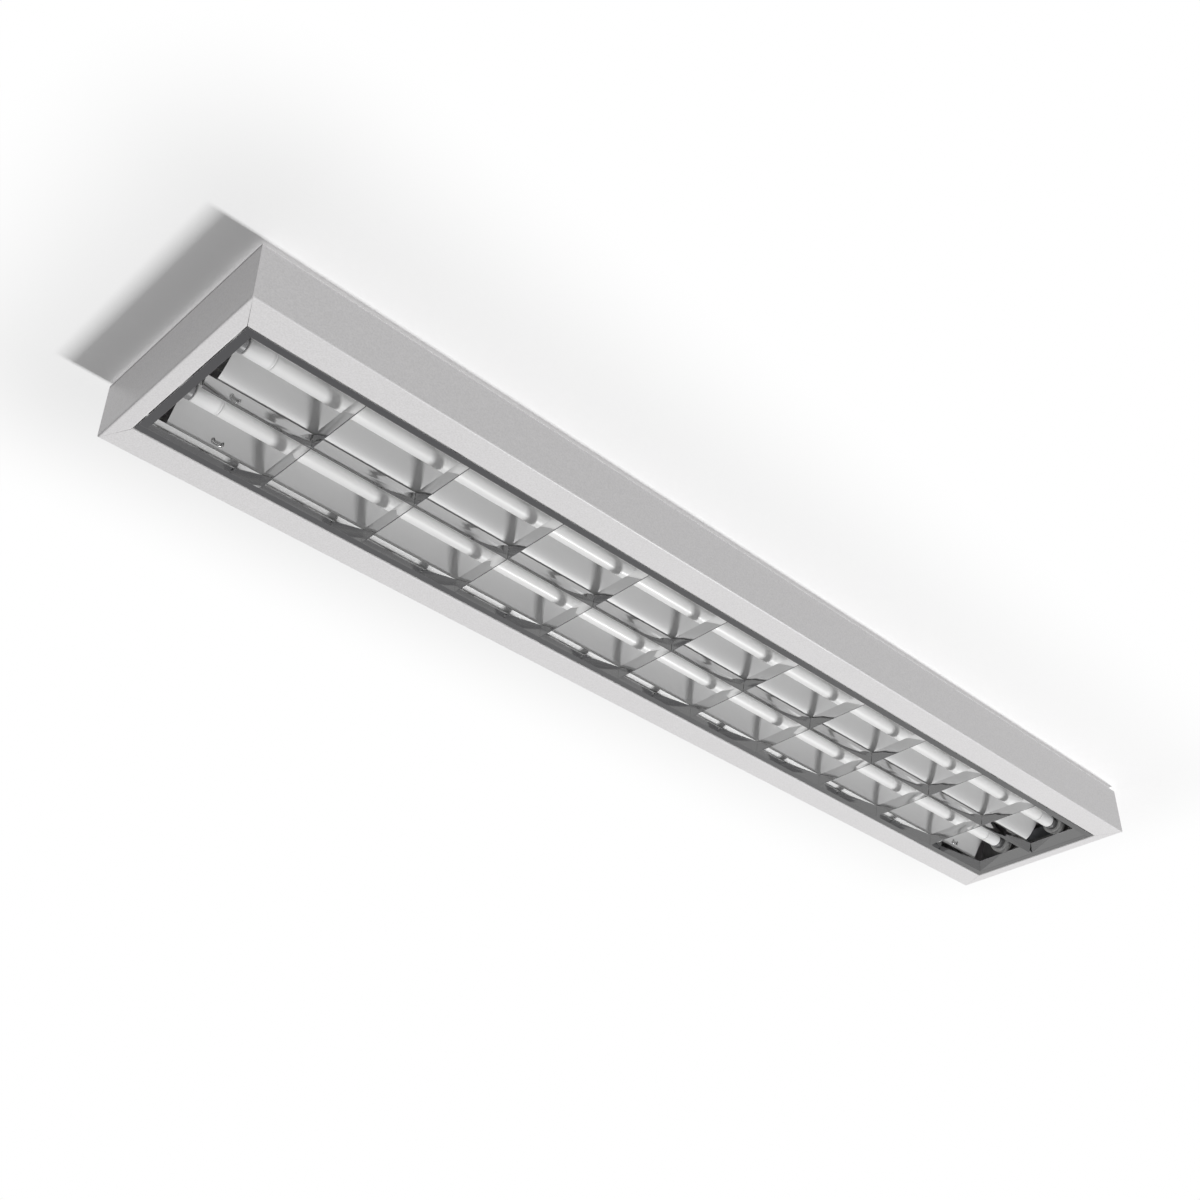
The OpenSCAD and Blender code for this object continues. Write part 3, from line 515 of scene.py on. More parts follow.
def joined(name: str, meshes: list[Mesh]) -> Mesh:
    """Joins several meshes into one.

    Args:
        name: Name of the new mesh.
        meshes: The meshes, which are used up.

    Returns:
        The joined mesh.
    """
    work = bmesh.new()
    for mesh in meshes:
        work.from_mesh(mesh)
        bpy.data.meshes.remove(mesh)
    return finished(work, name)


def mirrored_x(mesh: Mesh) -> Mesh:
    """Copies a mesh to the other side of X = 0, facing outwards.

    Args:
        mesh: The mesh.

    Returns:
        The copy.
    """
    work = bmesh.new()
    work.from_mesh(mesh)
    bmesh.ops.transform(work, matrix=Matrix.Scale(-1, 4, Vector((1, 0, 0))), verts=work.verts)
    bmesh.ops.reverse_faces(work, faces=work.faces)
    return finished(work, mesh.name + "_left")


def softened(node: str, width: float, smooth_below: float = SMOOTH_ANGLE) -> Mesh:
    """Copies a CAD node's mesh and rounds its sharp edges.

    Args:
        node: Name of the node.
        width: Width of the rounding, in millimetres. Zero leaves the edges sharp.
        smooth_below: Edges that turn less than this many degrees stay as they are.

    Returns:
        The new mesh.
    """
    work = bmesh.new()
    work.from_mesh(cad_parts[node].data)
    bmesh.ops.remove_doubles(work, verts=work.verts, dist=CAD_WELD)
    bmesh.ops.dissolve_limit(work, angle_limit=math.radians(FLAT_ANGLE), verts=work.verts, edges=work.edges)
    if width > 0.0:
        least = math.radians(smooth_below)
        sharp = [e for e in work.edges if len(e.link_faces) == 2 and e.calc_face_angle(0.0) > least]
        bmesh.ops.bevel(work, geom=sharp, offset=width * MM, segments=ROUND_STEPS, profile=ROUND_SHAPE,
                        affect="EDGES", clamp_overlap=True)
    bmesh.ops.recalc_face_normals(work, faces=work.faces)
    return finished(work, node + "_soft")


# Modifiers, which are all applied


def applied(piece: Object, modifier: Modifier, name: str) -> Mesh:
    """Takes a modifier off a piece and gives the plain mesh that it makes.

    Args:
        piece: The piece.
        modifier: Its modifier.
        name: Name of the plain mesh.

    Returns:
        The plain mesh.
    """
    seen = bpy.context.evaluated_depsgraph_get()
    result = bpy.data.meshes.new_from_object(piece.evaluated_get(seen), depsgraph=seen)
    piece.modifiers.remove(modifier)
    result.name = name
    return result


def repeat_tree() -> NodeTree:
    """Builds the Geometry Nodes tree that sets copies of its input on a grid about the origin.

    Returns:
        The tree, whose inputs are the counts, the distances and the material.
    """
    tree = bpy.data.node_groups.get("repeat_on_grid")
    if tree:
        return tree
    tree = bpy.data.node_groups.new("repeat_on_grid", "GeometryNodeTree")
    face = tree.interface
    for name, kind in (("Geometry", "Geometry"), ("Columns", "Int"), ("Rows", "Int"),
                       ("Column Pitch", "Float"), ("Row Pitch", "Float"), ("Finish", "Material")):
        face.new_socket(name=name, in_out="INPUT", socket_type="NodeSocket" + kind)
    face.new_socket(name="Geometry", in_out="OUTPUT", socket_type="NodeSocketGeometry")
    nodes, link = tree.nodes, tree.links.new
    entry, leave = nodes.new("NodeGroupInput"), nodes.new("NodeGroupOutput")
    copies = entry.outputs["Geometry"]
    for word, axis in (("Row", "Y"), ("Column", "X")):
        count, pitch = entry.outputs[word + "s"], entry.outputs[word + " Pitch"]
        long = reckoned(tree, "MULTIPLY", reckoned(tree, "SUBTRACT", count, 1.0), pitch)
        start, step = nodes.new("ShaderNodeCombineXYZ"), nodes.new("ShaderNodeCombineXYZ")
        line, spread = nodes.new("GeometryNodeMeshLine"), nodes.new("GeometryNodeInstanceOnPoints")
        link(reckoned(tree, "MULTIPLY", long, -0.5), start.inputs[axis])
        link(pitch, step.inputs[axis])
        link(count, line.inputs["Count"])
        link(start.outputs["Vector"], line.inputs["Start Location"])
        link(step.outputs["Vector"], line.inputs["Offset"])
        link(line.outputs["Mesh"], spread.inputs["Points"])
        link(copies, spread.inputs["Instance"])
        copies = spread.outputs["Instances"]
    real, paint = nodes.new("GeometryNodeRealizeInstances"), nodes.new("GeometryNodeSetMaterial")
    link(copies, real.inputs["Geometry"])
    link(real.outputs["Geometry"], paint.inputs["Geometry"])
    link(entry.outputs["Finish"], paint.inputs["Material"])
    link(paint.outputs["Geometry"], leave.inputs["Geometry"])
    return tree


def repeated(name: str, mesh: Mesh, finish: Finish, counts: tuple[int, int], pitches: Point,
             smooth_below: float = SMOOTH_ANGLE) -> Object:
    """Repeats a mesh on a grid with Geometry Nodes and turns the result into a plain mesh.

    Args:
        name: Name of the piece.
        mesh: The mesh of one copy, about the origin.
        finish: Finish of all copies.
        counts: Copies along X and along Y.
        pitches: Distances between them.
        smooth_below: Faces that meet at less than this many degrees are shaded as one.

    Returns:
        The finished piece.
    """
    tree = repeat_tree()
    seed = placed(name + "_seed", mesh)
    modifier = seed.modifiers.new("repeat", "NODES")
    modifier.node_group = tree
    sockets = {item.name: item.identifier for item in tree.interface.items_tree if item.in_out == "INPUT"}
    for key, value in (("Columns", counts[0]), ("Rows", counts[1]), ("Column Pitch", pitches[0]),
                       ("Row Pitch", pitches[1]), ("Finish", finish.material())):
        modifier[sockets[key]] = value
    result = applied(seed, modifier, name)
    bpy.data.objects.remove(seed)
    return made_object(name, result, None, smooth_below)


def cut(piece: Object, cutter: Mesh, smooth_below: float) -> Object:
    """Cuts solids out of a piece and leaves it a plain mesh.

    Args:
        piece: The piece.
        cutter: The solids to take away, which are used up.
        smooth_below: Faces that meet at less than this many degrees are shaded as one.

    Returns:
        The same piece.
    """
    tool = placed("cutter", cutter)
    modifier = piece.modifiers.new("cut", "BOOLEAN")
    modifier.operation, modifier.solver, modifier.object = "DIFFERENCE", "EXACT", tool
    piece.data = applied(piece, modifier, piece.name)
    bpy.data.objects.remove(tool)
    bpy.data.meshes.remove(cutter)
    piece.data.set_sharp_from_angle(angle=math.radians(smooth_below))
    return piece


# Pieces in place of CAD nodes


def dress(node: str, finish: Finish) -> None:
    """Gives a CAD node a finish, without touching its mesh."""
    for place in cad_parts[node].material_slots:
        place.material = finish.material()


def stand_in(piece: Object, body: str, slot: str, *nodes: str) -> None:
    """Lets a piece ride on a body in place of CAD nodes.

    Args:
        piece: The piece.
        body: Body that carries it.
        slot: Material slot of the record; not used.
        nodes: Nodes that it stands for.
    """
    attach(piece, body)
    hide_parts(*nodes)


@dataclass(frozen=True)
class SoftCopy:
    """Copy of a CAD node with rounded edges: how wide in millimetres, in which finish and on which body."""

    node: str
    width: float
    finish: Finish
    slot: str
    body: str = "housing"
    smooth_below: float = SMOOTH_ANGLE

    def build(self) -> str:
        """Replaces the node by its copy.

        Returns:
            Name of the node.
        """
        mesh = softened(self.node, self.width, self.smooth_below)
        piece = made_object(self.node + "_dressed", mesh, self.finish, self.smooth_below)
        stand_in(piece, self.body, self.slot, self.node)
        return self.node


class SubAssembly:
    """Base of the sub-assemblies: each builds its pieces and names itself in the log."""

    def build(self) -> list[str]:
        """Builds the pieces.

        Returns:
            Names of the pieces and nodes that were dressed.
        """
        raise NotImplementedError


@dataclass
class Housing(SubAssembly):
    """Folded tray with its two end walls and the rivets that join them.

    The shares give a rivet's outline as parts of its head's height and of a radius.
    """

    rivet_radius: float = 1.6 * MM
    rivet_head: float = 3.0 * MM
    head_height: float = 1.0 * MM
    rivet_pitch: float = 30.0 * MM
    rivet_sides: int = 24
    rivet_rows: int = 3
    stem_shares: tuple[Point, ...] = ((0.3, 0.0), (0.3, 0.3), (0.0, 0.35), (0.0, 0.5), (0.06, 0.8))
    head_shares: tuple[Point, ...] = ((0.35, 0.8), (0.75, 1.0), (1.0, 1.0))
    end_shares: tuple[Point, ...] = ((0.1, 1.0), (0.0, 0.92), (0.0, 0.45), (0.5, 0.4), (0.5, 0.0))

    def rivet(self, low: float) -> Mesh:
        """Makes one blind rivet: a domed head below, its drawn stem in a hollow, and a flush end above.

        Args:
            low: Lowest point of the head.

        Returns:
            The mesh, standing along Z.
        """
        height, radius = self.head_height, self.rivet_radius
        stem = [(up * height, across * radius) for up, across in self.stem_shares]
        head = [(up * height, across * self.rivet_head) for up, across in self.head_shares]
        end = [(-low - down * height, across * radius) for down, across in self.end_shares]
        mesh = turned("rivet", [*stem, *head, (height, radius), *end], (0.0, 0.0), self.rivet_sides)
        mesh.transform(Matrix.Translation((0.0, 0.0, low)) @ Matrix.Rotation(-math.pi / 2, 4, "Y"))
        return mesh

    def build(self) -> list[str]:
        """Builds the pieces.

        Returns:
            Names of the pieces and nodes that were dressed.
        """
        painted = ["housing_tray", "end_wall_left", "end_wall_right"]
        for node in painted:
            dress(node, FINISHES.paint)
        low, high = corners("end_wall_rivets")
        span = (high.x - low.x) - 2 * self.rivet_head
        counts, pitches = (len(End), self.rivet_rows), (span, self.rivet_pitch)
        rivets = repeated("rivets", self.rivet(low.z), FINISHES.rivet, counts, pitches)
        stand_in(rivets, "housing", "rivet_aluminium", "end_wall_rivets")
        return painted + ["rivets"]


@dataclass
class Reflector(SubAssembly):
    """Shaped reflector with its end shades, bridges and wire clips."""

    sheet: float = 0.5 * MM
    trough_y: float = 40.25 * MM
    ridge: float = -42.0 * MM
    trough: float = -12.5 * MM
    edge: float = -41.0 * MM
    half: float = 70.0 * MM
    power: float = 1.6
    steps: int = 44
    lip_fold: float = 0.4 * MM
    lip_rise: float = 0.3 * MM
    smooth: float = 30.0
    wire: float = 0.8 * MM
    wire_sides: int = 12
    bend: float = 1.6 * MM
    bend_steps: int = 3
    hole: float = 1.4 * MM
    hole_sides: int = 24
    clip_half: float = 4.5 * MM

    def height(self, y: float) -> float:
        """Gives the lower face's height at a distance from the middle.

        Args:
            y: Distance from the middle.

        Returns:
            The height.
        """
        if y < self.trough_y:
            return self.ridge + (self.trough - self.ridge) * (1 - math.cos(math.pi * y / self.trough_y)) / 2
        share = (y - self.trough_y) / (self.half - self.trough_y)
        return self.trough - (self.trough - self.edge) * share ** self.power

    def pan(self) -> Object:
        """Makes the pan as one smooth sheet with a lip down each outer edge.

        Returns:
            The piece.
        """
        low, high = corners("reflector_pan")
        edge = self.half + self.sheet / 2
        spots = [self.half * i / self.steps for i in range(self.steps)]
        half = [(y, self.height(y) + self.sheet / 2) for y in spots]
        half += [(edge - self.lip_fold, self.edge + self.lip_rise), (edge, self.edge - self.lip_fold)]
        half.append((edge, low.z))
        whole = [(-y, z) for y, z in reversed(half[1:])] + half
        mesh = sheet_along_x("reflector_sheet", whole, self.sheet, (low.x, high.x))
        piece = made_object("reflector_sheet", mesh, FINISHES.reflector, self.smooth)
        return cut(piece, self.clip_holes(), self.smooth)

    def clip_places(self) -> list[Point]:
        """Finds the middles of the four clips.

        Returns:
            X and Y of each clip.
        """
        high = corners("reflector_clips")[1]
        x, y = high.x - self.wire - self.clip_half, high.y - self.wire
        return [(sx * x, sy * y) for sx in (-1, 1) for sy in (-1, 1)]

    def clip_holes(self) -> Mesh:
        """Makes the solids that cut the wire clips' holes.

        Returns:
            The solids in one mesh.
        """
        work = bmesh.new()
        for x, y in self.clip_places():
            for side in (-1, 1):
                place = (x + side * self.clip_half, y, self.edge / 2)
                bmesh.ops.create_cone(work, segments=self.hole_sides, radius1=self.hole, radius2=self.hole,
                                      depth=-self.edge, cap_ends=True, matrix=Matrix.Translation(place))
        return finished(work, "clip_holes")

    def clip(self, x: float, y: float, low: float, high: float) -> Mesh:
        """Makes one staple of bent wire.

        Args:
            x: Middle of the staple.
            y: Its distance from the middle plane.
            low: Height of the wire's middle line at its bridge.
            high: Height of its ends.

        Returns:
            The mesh.
        """
        left = x - self.clip_half
        path = [Vector((left, y, high)), Vector((left, y, low + self.bend))]
        for i in range(1, self.bend_steps + 1):
            angle = math.pi / 2 * i / self.bend_steps
            on, up = self.bend * (1 - math.cos(angle)), self.bend * (1 - math.sin(angle))
            path.append(Vector((left + on, y, low + up)))
        path += [Vector((2 * x - p.x, p.y, p.z)) for p in reversed(path)]
        return swept("reflector_clip", path, self.wire, self.wire_sides)

    def build(self) -> list[str]:
        """Builds the pieces.

        Returns:
            Names of the pieces and nodes that were dressed.
        """
        stand_in(self.pan(), "housing", "reflector_aluminium", "reflector_pan")
        low, high = corners("reflector_clips")
        staples = [self.clip(x, y, low.z + self.wire, high.z) for x, y in self.clip_places()]
        clips = made_object("wire_clips", joined("wire_clips", staples), FINISHES.wire)
        stand_in(clips, "housing", "spring_steel", "reflector_clips")
        shades = ["end_reflector_left", "end_reflector_right"]
        for node in shades:
            dress(node, FINISHES.shade)
        dress("reflector_bridges", FINISHES.galvanised)
        return ["reflector_sheet", "wire_clips", *shades, "reflector_bridges"]


@dataclass
class Lamps(SubAssembly):
    """Two lamps, each a coated tube with pressed caps and contact pins, and the rotors that turn with them.

    The steps give outlines in millimetres: how far on from the tube's end, the cap's mouth or its face, and
    how far in from the lamp's radius. The pin's steps give shares of its own radius instead.
    """

    radius: float = 8.0 * MM
    drop: float = -28.0 * MM
    spacing: float = 74.5 * MM
    face: float = 574.5 * MM
    cap: float = 25.0 * MM
    sides: int = 64
    smooth: float = 40.0
    tube_gap: float = 0.4 * MM
    tube_closed: float = 14.0 * MM
    tube_steps: tuple[Point, ...] = ((-1.2, 0.02), (-0.4, 0.15), (0.0, 0.5), (0.3, 0.9), (12.0, 0.9))
    mouth_steps: tuple[Point, ...] = ((4.0, 0.6), (0.0, 0.55), (0.0, 0.15), (0.2, 0.0), (1.6, 0.0),
                                      (1.9, 0.12), (2.5, 0.12), (2.8, 0.0))
    face_steps: tuple[Point, ...] = ((-1.2, 0.0), (-0.5, 0.25), (-0.1, 0.8), (0.0, 1.4))
    plate: float = 5.0 * MM
    plate_chamfer: float = 0.3 * MM
    plate_depth: float = 0.35 * MM
    pin: float = 1.2 * MM
    pin_pitch: float = 4.75 * MM
    pin_sides: int = 20
    pin_steps: tuple[Point, ...] = ((-2.5, 0.0), (-2.5, 1.0), (6.2, 1.0),
                                    (6.7, 0.8), (6.98, 0.4), (6.98, 0.0))
    rotor_rounding: float = 0.3

    def tube(self, y: float) -> Mesh:
        """Makes the glass tube, drawn in a little where it enters the caps.

        Args:
            y: Y of the lamp's axis.

        Returns:
            The mesh.
        """
        end = self.face - self.cap - self.tube_gap
        right = stepped(end, self.radius, self.tube_steps) + [(end + self.tube_closed, 0.0)]
        left = [(-x, r) for x, r in reversed(right)]
        return turned("lamp_tube", [*left, (0.0, self.radius), *right], (y, self.drop), self.sides)

    def pressed_cap(self, y: float) -> Mesh:
        """Makes the right-hand cap, with a rolled mouth, a bead and a domed face.

        Args:
            y: Y of the lamp's axis.

        Returns:
            The mesh.
        """
        sunk = self.face - self.plate_depth
        profile = stepped(self.face - self.cap, self.radius, self.mouth_steps)
        profile += stepped(self.face, self.radius, self.face_steps)
        profile += [(self.face, self.plate), (sunk, self.plate - self.plate_chamfer), (sunk, 0.0)]
        return turned("lamp_cap", profile, (y, self.drop), self.sides)

    def pins(self, y: float) -> Mesh:
        """Makes the right-hand pair of pins with rounded tips.

        Args:
            y: Y of the lamp's axis.

        Returns:
            The mesh.
        """
        profile = [(self.face + on * MM, share * self.pin) for on, share in self.pin_steps]
        pair = [turned("lamp_pin", profile, (y + side * self.pin_pitch / 2, self.drop), self.pin_sides)
                for side in (-1, 1)]
        return joined("lamp_pins", pair)

    def build(self) -> list[str]:
        """Builds the pieces.

        Returns:
            Names of the pieces and nodes that were dressed.
        """
        names = []
        for side in Side:
            y, word = side.value * self.spacing / 2, side.name.lower()
            body = "lamp_" + word
            tube = made_object("tube_" + word, self.tube(y), FINISHES.glass, self.smooth)
            stand_in(tube, body, "lamp_glass", "lamp_tube_" + word)
            cap, pins = self.pressed_cap(y), self.pins(y)
            both_caps = joined("caps_" + word, [mirrored_x(cap), cap])
            caps = made_object("caps_" + word, both_caps, FINISHES.cap, self.smooth)
            stand_in(caps, body, "cap_aluminium", "lamp_caps_" + word)
            both_pins = joined("pins_" + word, [mirrored_x(pins), pins])
            pair = made_object("pins_" + word, both_pins, FINISHES.brass)
            stand_in(pair, body, "brass", "lamp_pins_" + word)
            for end in End:
                node = f"rotor_{word}_{end.name.lower()}"
                rotor = SoftCopy(node, self.rotor_rounding, FINISHES.rotor, "rotor_plastic", body)
                names.append(rotor.build())
            names += [tube.name, caps.name, pair.name]
        return names


@dataclass
class Lampholders(SubAssembly):
    """Four moulded lampholders on two folded brackets."""

    rounding: float = 0.7
    smooth: float = 40.0

    def build(self) -> list[str]:
        """Builds the pieces.

        Returns:
            Names of the pieces and nodes that were dressed.
        """
        nodes = [f"lampholder_{side.name.lower()}_{end.name.lower()}" for side in Side for end in End]
        for node in nodes:
            SoftCopy(node, self.rounding, FINISHES.holder, "holder_plastic", smooth_below=self.smooth).build()
        dress("lampholder_brackets", FINISHES.galvanised)
        return nodes + ["lampholder_brackets"]


@dataclass
class ControlGear(SubAssembly):
    """Ballast, mains terminals, earth stud, screws and the wiring between them."""

    pieces: tuple[SoftCopy, ...] = (
        SoftCopy("ballast_case", 0.12, FINISHES.galvanised, "galvanised_steel"),
        SoftCopy("ballast_cover", 0.25, FINISHES.white_case, "ballast_paint"),
        SoftCopy("ballast_board", 0.2, FINISHES.board, "circuit_board"),
        SoftCopy("ballast_terminals", 0.3, FINISHES.grey_plastic, "grey_plastic"),
        SoftCopy("terminal_block", 0.5, FINISHES.white_plastic, "white_plastic"),
        SoftCopy("gear_screws", 0.12, FINISHES.zinc, "zinc_steel"),
        SoftCopy("earth_stud", 0.2, FINISHES.brass, "brass"),
        SoftCopy("earth_nuts", 0.15, FINISHES.brass, "brass"),
        SoftCopy("cable_clamp", 0.15, FINISHES.zinc, "zinc_steel"),
        SoftCopy("cable_grommet", 0.4, FINISHES.rubber, "grommet_rubber"),
    )
    leads: tuple[tuple[str, Finish, str], ...] = (
        ("lamp_leads_left", FINISHES.white_lead, "lead_white"),
        ("lamp_leads_right", FINISHES.white_lead, "lead_white"),
        ("mains_leads", FINISHES.blue_lead, "lead_blue"),
        ("earth_lead", FINISHES.green_lead, "lead_green"),
    )
    lead_smooth: float = 70.0
    button_rounding: float = 0.4

    def build(self) -> list[str]:
        """Builds the pieces.

        Returns:
            Names of the pieces and nodes that were dressed.
        """
        buttons = [SoftCopy("release_button_" + pole, self.button_rounding, FINISHES.orange, "orange_plastic",
                            "release_" + pole) for pole in ("live", "neutral", "earth")]
        leads = [SoftCopy(node, 0.0, finish, slot, smooth_below=self.lead_smooth)
                 for node, finish, slot in self.leads]
        return [piece.build() for piece in (*self.pieces, *buttons, *leads)]


@dataclass
class Louvre(SubAssembly):
    """Hinged louvre: long profiles, end profiles and cross blades in bright metal."""

    blade_count: int = 10
    fold: float = 0.15
    smooth: float = 20.0
    pivot_rounding: float = 0.15
    spring_rounding: float = 0.05
    spring_smooth: float = 50.0

    def blade(self) -> Mesh:
        """Makes one cross blade about its own middle, from the shape of the first blade node.

        Returns:
            The mesh.
        """
        mesh = softened("cross_blade_1", self.fold)
        low, high = corners("cross_blade_1")
        mesh.transform(Matrix.Translation((-(low.x + high.x) / 2, 0.0, 0.0)))
        return mesh

    def build(self) -> list[str]:
        """Builds the pieces.

        Returns:
            Names of the pieces and nodes that were dressed.
        """
        count = self.blade_count
        first, last = corners("cross_blade_1"), corners(f"cross_blade_{count}")
        pitch = (last[0].x - first[0].x) / (count - 1)
        finish, slot, body = FINISHES.louvre, "louvre_aluminium", "louvre"
        blades = repeated("cross_blades", self.blade(), finish, (count, 1), (pitch, 0.0), self.smooth)
        stand_in(blades, body, slot, *(f"cross_blade_{i}" for i in range(1, count + 1)))
        profiles = [SoftCopy("louvre_" + word, self.fold, finish, slot, body, self.smooth)
                    for word in ("side_front", "side_rear", "end_left", "end_right", "centre_profile")]
        pivots = SoftCopy("louvre_hinge_pivots", self.pivot_rounding, FINISHES.zinc, "zinc_steel", body)
        springs = SoftCopy("louvre_springs", self.spring_rounding, FINISHES.wire, "spring_steel",
                           smooth_below=self.spring_smooth)
        return ["cross_blades"] + [piece.build() for piece in (*profiles, pivots, springs)]


@dataclass
class Studio:
    """Camera, lamps, world, floor and the ceiling that the light hangs on."""

    eye: Triple = (-0.9798, -0.8405, -0.8567)
    yaw: float = math.radians(45.41)
    pitch: float = math.radians(34.63)
    roll: float = math.radians(0.36)
    lens: float = 45.65
    sensor: float = 36.0
    sight: Point = (0.01, 50.0)
    ambient: float = 0.30
    key_travel: Triple = (-0.54, 0.0, 0.84)
    key_strength: float = 2.2
    key_distance: float = 12.0
    key_size: Point = (2.6, 0.8)
    top_travel: Triple = (0.16, 0.45, -0.88)
    top_strength: float = 1.75
    top_angle: float = math.radians(20.0)
    ceiling_half: float = 6.0
    ceiling_gap: float = 0.0045
    ceiling_colour: Triple = (0.99, 0.99, 0.99)
    # Distances from the housing over which the ceiling's painted glow rises to white
    ceiling_fade: Point = (0.01, 0.20)
    floor_half: float = 80.0
    floor_drop: float = 2.5
    floor_colour: Triple = (0.14, 0.14, 0.145)
    floor_far: Triple = (0.30, 0.30, 0.30)
    floor_fade: Point = (3.5, 7.0)

    def camera(self) -> None:
        """Sets the camera at the photograph's angle."""
        level = Vector((math.cos(self.yaw), math.sin(self.yaw), 0.0))
        ahead = level * math.cos(self.pitch) + Vector((0.0, 0.0, math.sin(self.pitch)))
        right = ahead.cross(Vector((0.0, 0.0, 1.0))).normalized()
        up = right.cross(ahead)
        turned_right = right * math.cos(self.roll) + up * math.sin(self.roll)
        turned_up = up * math.cos(self.roll) - right * math.sin(self.roll)
        data = bpy.data.cameras.new("camera")
        data.lens, data.sensor_width = self.lens, self.sensor
        data.clip_start, data.clip_end = self.sight
        camera = placed("camera", data)
        axes = Matrix((turned_right, turned_up, -ahead)).transposed()
        camera.matrix_world = Matrix.Translation(self.eye) @ axes.to_4x4()
        bpy.context.scene.camera = camera

    def top_lamp(self) -> None:
        """Adds a broad distant lamp above."""
        data = bpy.data.lights.new("top", "SUN")
        data.energy, data.angle = self.top_strength, self.top_angle
        placed("top", data).rotation_euler = Vector(self.top_travel).to_track_quat("-Z", "Y").to_euler()

    def key_lamp(self) -> None:
        """Adds a distant lamp below, which is wide along X and narrow across it."""
        data = bpy.data.lights.new("key", "AREA")
        data.shape, data.size, data.size_y = "RECTANGLE", *self.key_size
        data.energy = self.key_strength * math.pi * self.key_distance ** 2
        ahead = Vector(self.key_travel).normalized()
        across = Vector((0.0, 1.0, 0.0)).cross(ahead).normalized()
        axes = Matrix((across, across.cross(ahead), -ahead)).transposed()
        placed("key", data).matrix_world = Matrix.Translation(-ahead * self.key_distance) @ axes.to_4x4()

    def world(self) -> None:
        """Makes a plain world: white to the camera, in reflections and through glass, dimmer as a lamp."""
        world = bpy.data.worlds.new("studio")
        world.use_nodes = True
        tree = world.node_tree
        ground = tree.nodes["Background"]
        ground.inputs["Color"].default_value = (1.0, 1.0, 1.0, 1.0)
        path, level = tree.nodes.new("ShaderNodeLightPath").outputs, tree.nodes.new("ShaderNodeMapRange")
        shown = reckoned(tree, "MAXIMUM", path["Is Camera Ray"], path["Is Glossy Ray"])
        shown = reckoned(tree, "MAXIMUM", shown, path["Is Transmission Ray"])
        set_range(level, "To", (self.ambient, 1.0))
        tree.links.new(shown, level.inputs["Value"])
        tree.links.new(level.outputs["Result"], ground.inputs["Strength"])
        bpy.context.scene.world = world

    def level_square(self, name: str, matter: str, half: float, height: float, faces_up: bool) -> Object:
        """Makes a level square of the stage with a matte material.

        Args:
            name: Name of the square.
            matter: Name of its material.
            half: Half the length of its sides.
            height: Its height.
            faces_up: Whether its front is above or below.

        Returns:
            The square.
        """
        around = [(-half, -half, height), (half, -half, height), (half, half, height), (-half, half, height)]
        mesh = bpy.data.meshes.new(name)
        mesh.from_pydata(around, [], [(0, 1, 2, 3) if faces_up else (0, 3, 2, 1)])
        material = bpy.data.materials.new(matter)
        material.use_nodes = True
        shader = material.node_tree.nodes["Principled BSDF"]
        shader.inputs["Roughness"].default_value = 1.0
        shader.inputs["Specular IOR Level"].default_value = 0.0
        mesh.materials.append(material)
        return placed(name, mesh)

    def ceiling(self) -> None:
        """Makes the ceiling, which takes the shadow. It is seen from below only and glows white away from the
        housing.
        """
        plane = self.level_square("ceiling", "ceiling_plaster", self.ceiling_half, self.ceiling_gap, False)
        material = plane.data.materials[0]
        nodes, link = material.node_tree.nodes, material.node_tree.links.new
        shader, output = nodes["Principled BSDF"], nodes["Material Output"]
        shader.inputs["Base Color"].default_value = (*self.ceiling_colour, 1.0)
        clear, back = nodes.new("ShaderNodeBsdfTransparent"), nodes.new("ShaderNodeNewGeometry")
        # Painted light: away from the housing the ceiling glows white to the camera, which also lightens the
        # outer part of the shadow
        bright = nodes.new("ShaderNodeEmission")
        fade, mix = nodes.new("ShaderNodeMixShader"), nodes.new("ShaderNodeMixShader")
        link(self.clear_of_housing(material), fade.inputs["Fac"])
        link(shader.outputs["BSDF"], fade.inputs[1])
        link(bright.outputs["Emission"], fade.inputs[2])
        link(back.outputs["Backfacing"], mix.inputs["Fac"])
        link(fade.outputs["Shader"], mix.inputs[1])
        link(clear.outputs["BSDF"], mix.inputs[2])
        link(mix.outputs["Shader"], output.inputs["Surface"])
        plane.visible_diffuse = plane.visible_shadow = False

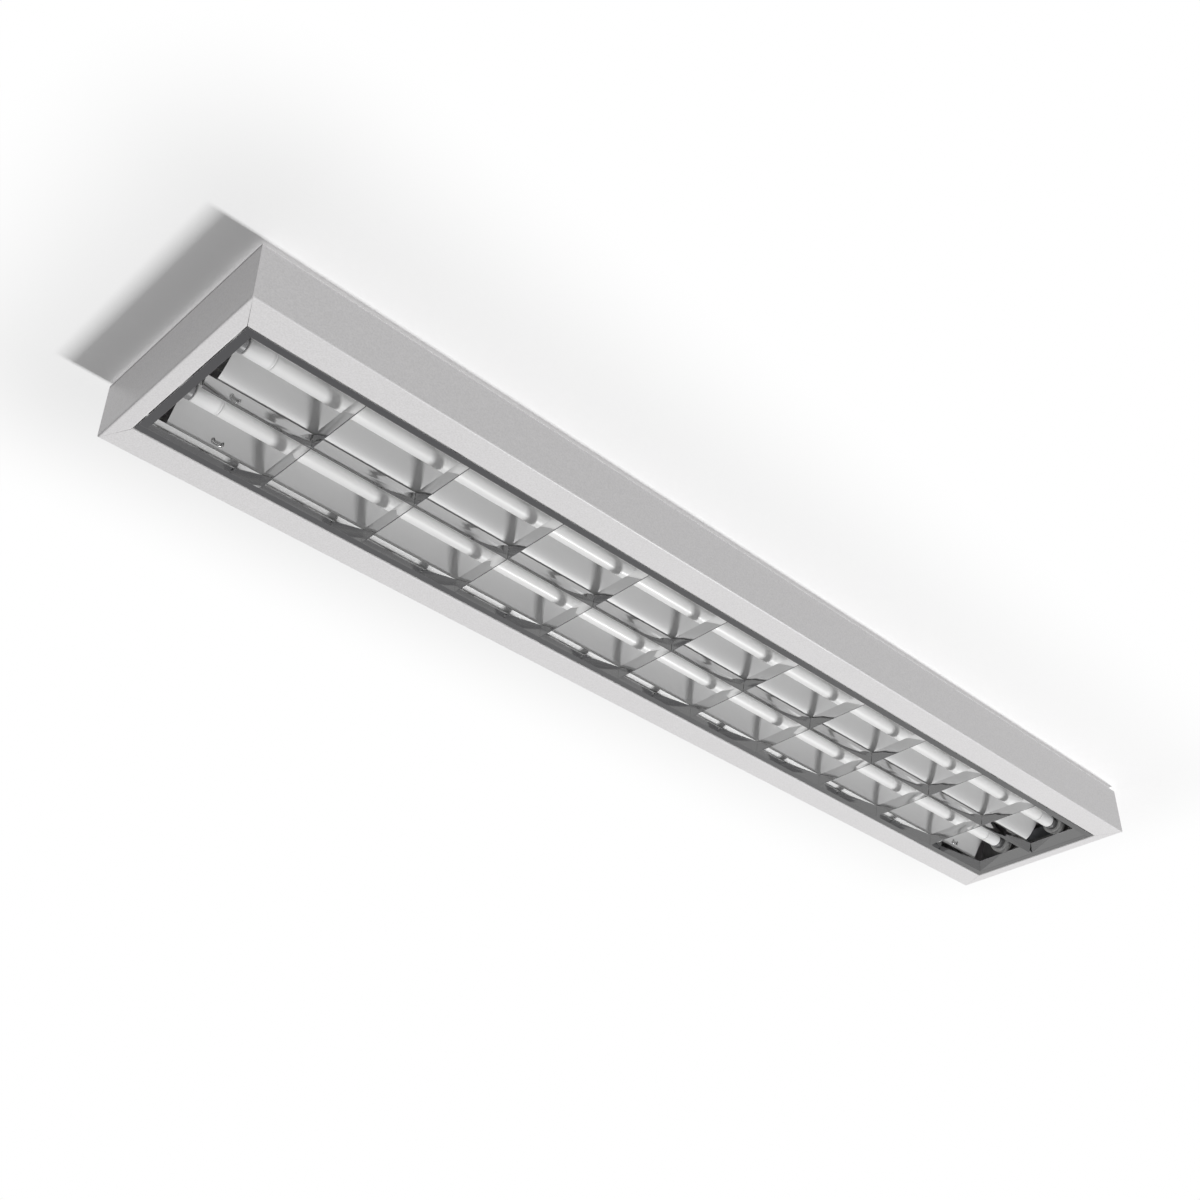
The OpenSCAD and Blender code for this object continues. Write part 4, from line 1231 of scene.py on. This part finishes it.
    def clear_of_housing(self, material: Material) -> NodeSocket:
        """Gives how far a point of the ceiling is from the housing, for camera rays only, which sets how much
        painted glow it takes.

        Args:
            material: The ceiling's material.

        Returns:
            The socket, 0 beside the housing and 1 far from it.
        """
        tree = material.node_tree
        nodes, link = tree.nodes, tree.links.new
        spot = nodes.new("ShaderNodeTexCoord").outputs["Object"]
        path, share = nodes.new("ShaderNodeLightPath"), nodes.new("ShaderNodeMapRange")
        high = corners("housing_tray")[1]
        nothing = (0.0, 0.0, 0.0)
        housing_edge = (high.x, high.y, self.ceiling_half)
        for operation, term in (("ABSOLUTE", nothing), ("SUBTRACT", housing_edge),
                                ("MAXIMUM", nothing), ("LENGTH", nothing)):
            step = nodes.new("ShaderNodeVectorMath")
            step.operation = operation
            step.inputs[1].default_value = term
            link(spot, step.inputs[0])
            spot = step.outputs["Value" if operation == "LENGTH" else "Vector"]
        share.interpolation_type = "SMOOTHSTEP"
        set_range(share, "From", self.ceiling_fade)
        link(spot, share.inputs["Value"])
        return reckoned(tree, "MULTIPLY", share.outputs["Result"], path.outputs["Is Camera Ray"])

    def floor(self) -> None:
        """Makes the room's grey floor, which is seen in reflections only."""
        plane = self.level_square("floor", "floor_carpet", self.floor_half, -self.floor_drop, True)
        tree = plane.data.materials[0].node_tree
        nodes, link = tree.nodes, tree.links.new
        place, away = nodes.new("ShaderNodeTexCoord"), nodes.new("ShaderNodeVectorMath")
        shade, mix = nodes.new("ShaderNodeMapRange"), nodes.new("ShaderNodeMix")
        away.operation, mix.data_type = "LENGTH", "RGBA"
        set_range(shade, "From", self.floor_fade)
        mix.inputs["A"].default_value = (*self.floor_colour, 1.0)
        mix.inputs["B"].default_value = (*self.floor_far, 1.0)
        link(place.outputs["Object"], away.inputs[0])
        link(away.outputs["Value"], shade.inputs["Value"])
        link(shade.outputs["Result"], mix.inputs["Factor"])
        link(mix.outputs["Result"], nodes["Principled BSDF"].inputs["Base Color"])
        plane.visible_camera = plane.visible_diffuse = False
        plane.visible_transmission = plane.visible_shadow = False

    def build(self) -> None:
        """Builds the whole studio."""
        bpy.context.scene.view_settings.view_transform = "Standard"
        self.camera()
        self.world()
        self.key_lamp()
        self.top_lamp()
        self.ceiling()
        self.floor()


def main() -> None:
    """Builds the studio and every sub-assembly."""
    logging.basicConfig(level=logging.INFO)
    Studio().build()
    for part in (Housing(), Reflector(), Lamps(), Lampholders(), ControlGear(), Louvre()):
        for name in part.build():
            LOG.info("%s: %s", type(part).__name__, name)


if __name__ == "__main__":
    main()
